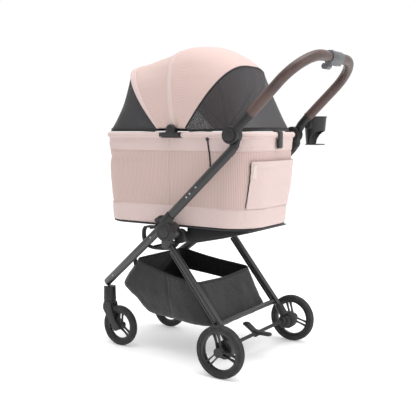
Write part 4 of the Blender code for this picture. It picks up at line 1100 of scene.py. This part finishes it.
def make_basket():
    """One sagging bag hung between the legs, with an open window low in its right wall."""
    count, depth = 300, 76
    loops = np.array([basket_loop(level, count) for level in BASKET_LEVELS])
    rows = np.array([curve_through(loops[:, k], depth) for k in range(count)]).transpose(1, 0, 2)
    n = surface_normals(rows, around=True)
    if (n * (rows - np.array([0, -0.28, 0.24]))).sum() < 0:
        n = -n
    share = np.linspace(0, 1, depth)[:, None]
    y = rows[..., 1]
    sag = np.sin(math.pi * np.clip(share * 1.5, 0, 1))
    relief = 0.0045 * noise_at(rows * np.array([1.0, 1.0, 0.6]), 7.5, 8.0) * sag
    relief += 0.0020 * noise_at(rows, 26.0, 3.0) * sag + 0.0006 * noise_at(rows, 70.0, 1.0)
    seam = bell(y + 0.275 + 0.10 * (rows[..., 2] - 0.2), 0.0035)
    relief -= 0.0022 * seam * step(np.abs(rows[..., 0]), 0.10, 0.14)
    rows = rows + n * relief[..., None]
    along = np.sin(math.pi * np.clip((y[0] + 0.445) / 0.30, 0, 1))
    behind = bell(rows[0, :, 0], 0.11) * step(y[0], -0.17, -0.148)
    rows[..., 2] -= (0.006 * along + 0.008 * behind)[None, :] * (1 - step(share, 0.0, 0.35))
    low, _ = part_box("storage_basket")
    rows[..., 2] = np.maximum(rows[..., 2], low.z - 0.001)
    x, y, z = rows[..., 0], rows[..., 1], rows[..., 2]
    window = (x < -0.10) & (y > WINDOW_FRONT) & (y < WINDOW_REAR)
    window &= (z < height_on(WINDOW_TOP, y)) & (z > height_on(WINDOW_BOTTOM, y))
    made = cloth("storage_cloth", rows, 0.0022, BASKET, None, around=True, keep=~window)
    fold_with_legs(made)
    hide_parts("storage_basket")
    hem = binding("storage_hem", rows[1] + n[1] * 0.0004, n[0], 0.0150, 0.0040, None, closed=True,
                  sides=10)
    fold_with_legs(hem)

    along, down = np.linspace(WINDOW_FRONT, WINDOW_REAR, 60), np.linspace(1, 0, 14)
    edge_y = np.concatenate([along, np.full(14, WINDOW_REAR), along[::-1], np.full(14, WINDOW_FRONT)])
    rise = np.concatenate([np.ones(60), down, np.zeros(60), down[::-1]])
    bottom, top = height_on(WINDOW_BOTTOM, edge_y), height_on(WINDOW_TOP, edge_y)
    edge_z = bottom + (top - bottom) * rise
    wall = rows.reshape(-1, 3)[rows.reshape(-1, 3)[:, 0] < -0.10]
    line = []
    for place, height in zip(edge_y, edge_z):
        nearest = wall[np.argmin((wall[:, 1] - place) ** 2 + (wall[:, 2] - height) ** 2)]
        line.append([nearest[0] - 0.0006, place, height])
    tape = binding("storage_window_binding", evenly(line, 200, closed=True), (-1, 0, 0), 0.0100, 0.0052,
                   None, closed=True, sides=10)
    fold_with_legs(tape)
    for label, side in SIDES:
        for end, spot, body, size in (("front", (0.1520, -0.4400, 0.3350), "chassis", 0.030),
                                      ("rear", (0.1880, -0.1420, 0.2800), "rear_frame", 0.034)):
            spot = np.array(spot) * [side, 1, 1] + np.array([0.012 * side, 0, 0])
            path = [spot + np.array([0, 0, size * s]) for s in (-0.5, -0.2, 0.2, 0.5)]
            name = "basket_tab_%s_%s" % (end, label)
            binding(name, path, (side, 0, 0), 0.0180, 0.0026, body, square=4.0)


# ---------------------------------------------------------------- handlebar

def handle_point(x, u, lift=0.0):
    """Point of the handle's plane: u up its slope, lift out of the plane."""
    c, s = math.cos(HANDLE_SLOPE), math.sin(HANDLE_SLOPE)
    return np.array([x, HANDLE_START[0] + u * c - lift * s, HANDLE_START[1] + u * s + lift * c])


def make_handle():
    """Leather sleeve with a sewn seam inside the bend, and the rings round its ends."""
    near = [(HANDLE_HALF, GRIP_START), (HANDLE_HALF, 0.100)]
    for a in np.radians(np.linspace(0, 90, 31)):
        near.append((HANDLE_HALF - HANDLE_CORNER + HANDLE_CORNER * math.cos(a),
                     HANDLE_REACH - HANDLE_CORNER + HANDLE_CORNER * math.sin(a)))
    rows, sides = 260, 32
    flat = near + [(-x, u) for x, u in reversed(near)]
    path = evenly([handle_point(x, u) for x, u in flat], rows)
    lift = handle_point(0, 0, 1.0) - handle_point(0, 0)
    across = unit(np.cross(tangents(path), lift))
    if across[0, 0] > 0:
        across = -across
    a = 2 * math.pi * np.arange(sides) / sides
    shape = across[:, None] * np.cos(a)[None, :, None] + lift * np.sin(a)[None, :, None]
    radius = GRIP_RADIUS + 0.00025 * noise_at(path[:, None] + shape * 0.012, 40.0, 2.0)
    turned = np.abs((a - SEAM_ANGLE + math.pi) % (2 * math.pi) - math.pi)[None, :]
    radius = radius - 0.0010 * bell(turned, 0.06) + 0.0004 * bell(turned - 0.20, 0.10)
    ends = np.minimum(np.arange(rows), rows - 1 - np.arange(rows))
    radius = radius - (0.0024 * np.exp(-ends / 0.9))[:, None]
    points = path[:, None] + shape * radius[..., None]
    faces, i, j = grid_faces(rows, sides, True)
    u, v = grid_uv(points, True)
    faces, corners = close_ends(faces, corner_uv(u, v, i, j).reshape(-1, 2), rows, sides)
    made = piece("handle_leather", points.reshape(-1, 3), faces, LEATHER, "handle", corners, 60.0)
    face_outwards(made)
    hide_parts("handle_bar")
    lines = []
    for turn in (-0.16, 0.16):
        away = across * math.cos(SEAM_ANGLE + turn) + lift * math.sin(SEAM_ANGLE + turn)
        lines.append((path[3:-3] + away[3:-3] * (GRIP_RADIUS + 0.0002), away[3:-3]))
    stitches("handle_stitching", lines, DARK_THREAD, "handle", 0.0058, 0.0038, 0.00048)
    housing_low, housing_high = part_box("grip_housing")
    grip = handle_point(0, HANDLE_REACH)
    for name, x in (("grip_ring_left", housing_high.x - ORIGIN[0] + 0.0026),
                    ("grip_ring_right", housing_low.x - ORIGIN[0] - 0.0026)):
        grip_ring(name, [x, grip[1], grip[2]], (1, 0, 0), 0.0030, 0.0009)
    for label, side in SIDES:
        start = handle_point(HANDLE_HALF * side, GRIP_START + 0.0012)
        along = unit(handle_point(HANDLE_HALF * side, 0.1) - start)
        grip_ring("grip_collar_" + label, start, along, 0.0044, 0.0011)


def grip_ring(name, centre, along, width, proud):
    """Thin moulded ring round the grip."""
    half = [(-0.5, -0.0004), (-0.5, proud * 0.6), (-0.3, proud)]
    whole = half + [(-at, out) for at, out in reversed(half)]
    profile = [(width * at, GRIP_RADIUS + out) for at, out in whole]
    points, faces, corners = lathe_mesh(profile, (0, 0, 0), 48, 2)
    turn = Vector((0, 0, 1)).rotation_difference(Vector(along)).to_matrix()
    points = points @ np.array(turn).T + np.asarray(centre, float)
    face_outwards(piece(name, points, faces, SMALL_PLASTIC, "handle", corners, 45.0))


# ---------------------------------------------------------------- wheels

# Outline of a tyre: distance from its side or its middle, depth under the tread
TYRE_DEPTH = 0.0170
SIDEWALL = ((0.0008, TYRE_DEPTH), (0.0, 0.0120), (0.0002, 0.0090), (0.0014, 0.0084), (0.0013, 0.0074),
            (0.0004, 0.0066), (0.0012, 0.0038), (0.0030, 0.0018), (0.0062, 0.0004))
TREAD_GROOVE = ((-0.0042, 0.0), (-0.0034, 0.0012), (-0.0024, 0.0012), (-0.0016, 0.0))
# Outline of a hub cap: how far in from its face, radius
HUB_CAP = ((0.0022, 0.0168), (0.0004, 0.0150), (0.0, 0.0138), (0.0, 0.0112),
           (0.0014, 0.0104), (0.0014, 0.0040), (0.0002, 0.0034), (0.0002, 0.0))


def make_wheel(node, body, phase):
    """Tyre with tread grooves, and a rim with paired spokes, a stepped hub and a bolt."""
    low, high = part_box(node + "_tyre")
    centre = np.array(middle_of(node + "_tyre")) - ORIGIN
    radius, half = (high.z - low.z) / 2, (high.x - low.x) / 2
    side = 1 if centre[0] > 0 else -1
    inner = radius - TYRE_DEPTH
    one_side = [(-half + x, radius - deep) for x, deep in SIDEWALL]
    one_side += [(x, radius - deep) for x, deep in TREAD_GROOVE]
    profile = one_side + [(-x, r) for x, r in reversed(one_side)]
    points, faces, corners = lathe_mesh(profile, centre, 128)
    made = piece(node + "_rubber", points, faces, TYRE, body, corners, 45.0)
    face_outwards(made)
    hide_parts(node + "_tyre")

    rim_low, rim_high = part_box(node + "_rim")
    r = inner - 0.0004
    wide = half - 0.0030
    well = ((0.0, 0.0035), (-0.0026, 0.0062), (-0.0034, 0.0096))
    ring = [(-wide, r - 0.0035), (-wide - 0.0004, r - 0.0012), (-wide, r)]
    ring += [(wide, r), (wide + 0.0004, r - 0.0012)]
    ring += [(wide + x, r - deep) for x, deep in well] + [(0.0, r - 0.0118)]
    ring += [(-wide - x, r - deep) for x, deep in well[:0:-1]]
    hub = [(-0.0008, 0.0056), (-0.0008, 0.0138), (0.0, 0.0150)]
    hub = [(-wide + x, r) for x, r in hub] + [(wide - x, r) for x, r in reversed(hub)]
    parts = [lathe_mesh(ring, centre, 112), lathe_mesh(hub, centre, 56)]
    reach = abs((rim_high.x if side > 0 else rim_low.x) - ORIGIN[0] - centre[0])
    if reach > half:
        cap = [(wide, 0.0052), (wide, 0.0168)]
        cap += [(reach - deep, out) for deep, out in HUB_CAP]
        parts.append(lathe_mesh([(x * side, r) for x, r in cap], centre, 56, closed=False))
    for k in range(3):
        for offset in (-1, 1):
            angle = math.radians(phase + 120 * k)
            parts.append(spoke_mesh(centre, angle, offset, 0.0105, r - 0.0085, wide))
    points, faces, corners = gather(parts)
    made = piece(node + "_spokes", points, faces, WHEEL, body, corners, 38.0)
    face_outwards(made)
    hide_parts(node + "_rim")


def spoke_mesh(centre, angle, offset, start, end, wide):
    """One tapered spoke with rounded edges, one of a pair that spreads towards the rim."""
    out = np.array([0, math.cos(angle), math.sin(angle)])
    beside = np.array([0, -math.sin(angle), math.cos(angle)])
    path, widths = [], []
    for t in np.linspace(0, 1, 9):
        away = start + (end - start) * t
        path.append(centre + out * away + beside * offset * (0.0066 + 0.0012 * t))
        widths.append(1.25 - 0.45 * math.sin(math.pi * t))
    sides = 16
    points, faces, corners = ribbon_mesh(path, beside, 2 * wide - 0.0064, 0.0058, sides=sides,
                                         round_ends=False, square=3.6)
    middle = np.repeat(np.array(path), sides, axis=0)
    return middle + (points - middle) * np.repeat(widths, sides)[:, None], faces, corners


# ---------------------------------------------------------------- small trim

# Piece name, body, the two ends of the tube's outer face on the left, places along it
RIVETS = (("push_rivets_", "push_frame", (0.2455, -0.2400, 0.5065), (0.2220, 0.0170, 0.7565),
           (0.36, 0.41, 0.50)),
          ("leg_rivets_", "chassis", (0.2180, -0.2620, 0.4920), (0.1580, -0.5870, 0.2370),
           (0.20, 0.86)))
RIVET_HEAD = ((0.0, 0.0034), (0.0006, 0.0032), (0.0011, 0.0020), (0.0013, 0.0))
RIVET_STAND = 0.0101


def make_rivets():
    """Rivet heads on the push tubes and front legs."""
    for label, side in SIDES:
        for name, body, one, two, places in RIVETS:
            one, two = np.array(one), np.array(two)
            parts = []
            for t in places:
                spot = (one + (two - one) * t + np.array([RIVET_STAND, 0, 0])) * np.array([side, 1, 1])
                points, faces, corners = lathe_mesh(RIVET_HEAD, (0, 0, 0), 20, 0, closed=False)
                parts.append((points * np.array([side, 1, 1]) + spot, faces, corners))
            points, faces, corners = gather(parts)
            face_outwards(piece(name + label, points, faces, STEEL, body, corners, 50.0))


# Start of the node's name, and its material. The other nodes are black plastic.
CAD_FINISHES = {
    "front_leg": TUBE, "rear_leg": TUBE, "push_tube": TUBE, "rear_cross_tube": TUBE,
    "seat_tray": BASKET, "carrier_base": BINDING, "grip_housing": GREY, "fold_trigger": GREY,
    "canopy_bow": SMALL_PLASTIC, "hub_button": SMALL_PLASTIC, "hinge_button": SMALL_PLASTIC,
    "rim_clip": SMALL_PLASTIC,
}


def dress_cad_nodes():
    """Materials and softened edges for the rigid nodes that stay."""
    for name, node in frame["nodes"].items():
        if node.hide_render:
            continue
        finish = next((f for key, f in CAD_FINISHES.items() if name.startswith(key)), PLASTIC)
        node.data.materials.clear()
        node.data.materials.append(finish)
        custom = node.data.attributes.get("custom_normal")
        if custom:
            node.data.attributes.remove(custom)
        if name in ("seat_tray", "carrier_base"):
            co = np.array([v.co for v in node.data.vertices])
            set_cloth_map(node.data, np.stack([co[:, 0] + co[:, 2] * 0.3, co[:, 1] + co[:, 2]], 1))
        weld = node.modifiers.new("weld", "WELD")
        weld.merge_threshold = 0.00002
        bevel = node.modifiers.new("edge", "BEVEL")
        bevel.width = 0.0016 if name == "seat_tray" else 0.0007
        bevel.segments = 2
        bevel.limit_method = "ANGLE"
        bevel.angle_limit = math.radians(38)
        node.data.shade_smooth()
        node.data.set_sharp_from_angle(angle=math.radians(50))


# ---------------------------------------------------------------- studio

def area_light(name, place, target, size, power):
    light = bpy.data.lights.new(name, "AREA")
    light.shape = "DISK"
    light.size = size
    light.energy = power
    made = bpy.data.objects.new(name, light)
    made.location = place
    made.rotation_mode = "QUATERNION"
    made.rotation_quaternion = (Vector(target) - Vector(place)).to_track_quat("-Z", "Y")
    bpy.context.scene.collection.objects.link(made)


def make_studio():
    """Seamless white floor and surroundings, darker on the carrier's left, and two soft lights."""
    mesh = bpy.data.meshes.new("floor")
    mesh.from_pydata([(-30, -30, 0), (30, -30, 0), (30, 30, 0), (-30, 30, 0)], [], [(0, 1, 2, 3)])
    mesh.materials.append(studio_floor("studio_floor"))
    floor = bpy.data.objects.new("floor", mesh)
    floor.location.z = -0.0004
    bpy.context.scene.collection.objects.link(floor)
    world = bpy.data.worlds.new("studio")
    world.use_nodes = True
    nodes, links = world.node_tree.nodes, world.node_tree.links
    place = nodes.new("ShaderNodeTexCoord")
    aside = nodes.new("ShaderNodeVectorMath")
    aside.operation = "DOT_PRODUCT"
    aside.inputs[1].default_value = (0.90, 0.05, -0.42)
    fall = nodes.new("ShaderNodeMapRange")
    fall.interpolation_type = "SMOOTHSTEP"
    for key, value in (("From Min", 0.0), ("From Max", 0.75), ("To Min", 1.02), ("To Max", 0.34)):
        fall.inputs[key].default_value = value
    links.new(place.outputs["Generated"], aside.inputs[0])
    links.new(aside.outputs["Value"], fall.inputs["Value"])
    links.new(fall.outputs["Result"], nodes["Background"].inputs["Strength"])
    nodes["Background"].inputs["Color"].default_value = (1.0, 1.0, 1.0, 1.0)
    bpy.context.scene.world = world
    area_light("key", (0.3, 0.4, 3.4), (0, 0, 0.4), 2.6, 58.0)
    area_light("fill", (0.2, 3.2, 1.6), (0, 0, 0.6), 2.2, 20.0)
    bpy.context.scene.view_settings.view_transform = "Standard"


CAMERA_PLACE = (2.22725, 1.3886, 0.818)
CAMERA_YAW = 33.47
CAMERA_PITCH = 6.15
CAMERA_LENS = 61.57


def make_camera():
    """Three-quarter view from the rear left, slightly above the rim."""
    yaw, pitch = math.radians(CAMERA_YAW), math.radians(CAMERA_PITCH)
    level = Vector((-math.cos(yaw), -math.sin(yaw), 0))
    ahead = level * math.cos(pitch) - Vector((0, 0, math.sin(pitch)))
    right = ahead.cross(Vector((0, 0, 1))).normalized()
    up = right.cross(ahead)
    camera = bpy.data.cameras.new("camera")
    camera.lens = CAMERA_LENS
    camera.sensor_width = 36.0
    camera.clip_end = 100.0
    made = bpy.data.objects.new("camera", camera)
    turn = Matrix((right, up, -ahead)).transposed().to_4x4()
    made.matrix_world = Matrix.Translation(CAMERA_PLACE) @ turn
    bpy.context.scene.collection.objects.link(made)
    bpy.context.scene.camera = made


make_camera()
make_studio()
make_tub()
make_tub_trim()
make_rim()
make_canopy()
make_nets()
make_pockets()
make_side_straps()
make_mat()
make_basket()
make_handle()
for name, phase in (("front_wheel", 85), ("rear_wheel", 105)):
    for label, _ in SIDES:
        make_wheel(name + "_" + label, name + "_" + label, phase)
make_rivets()
dress_cad_nodes()
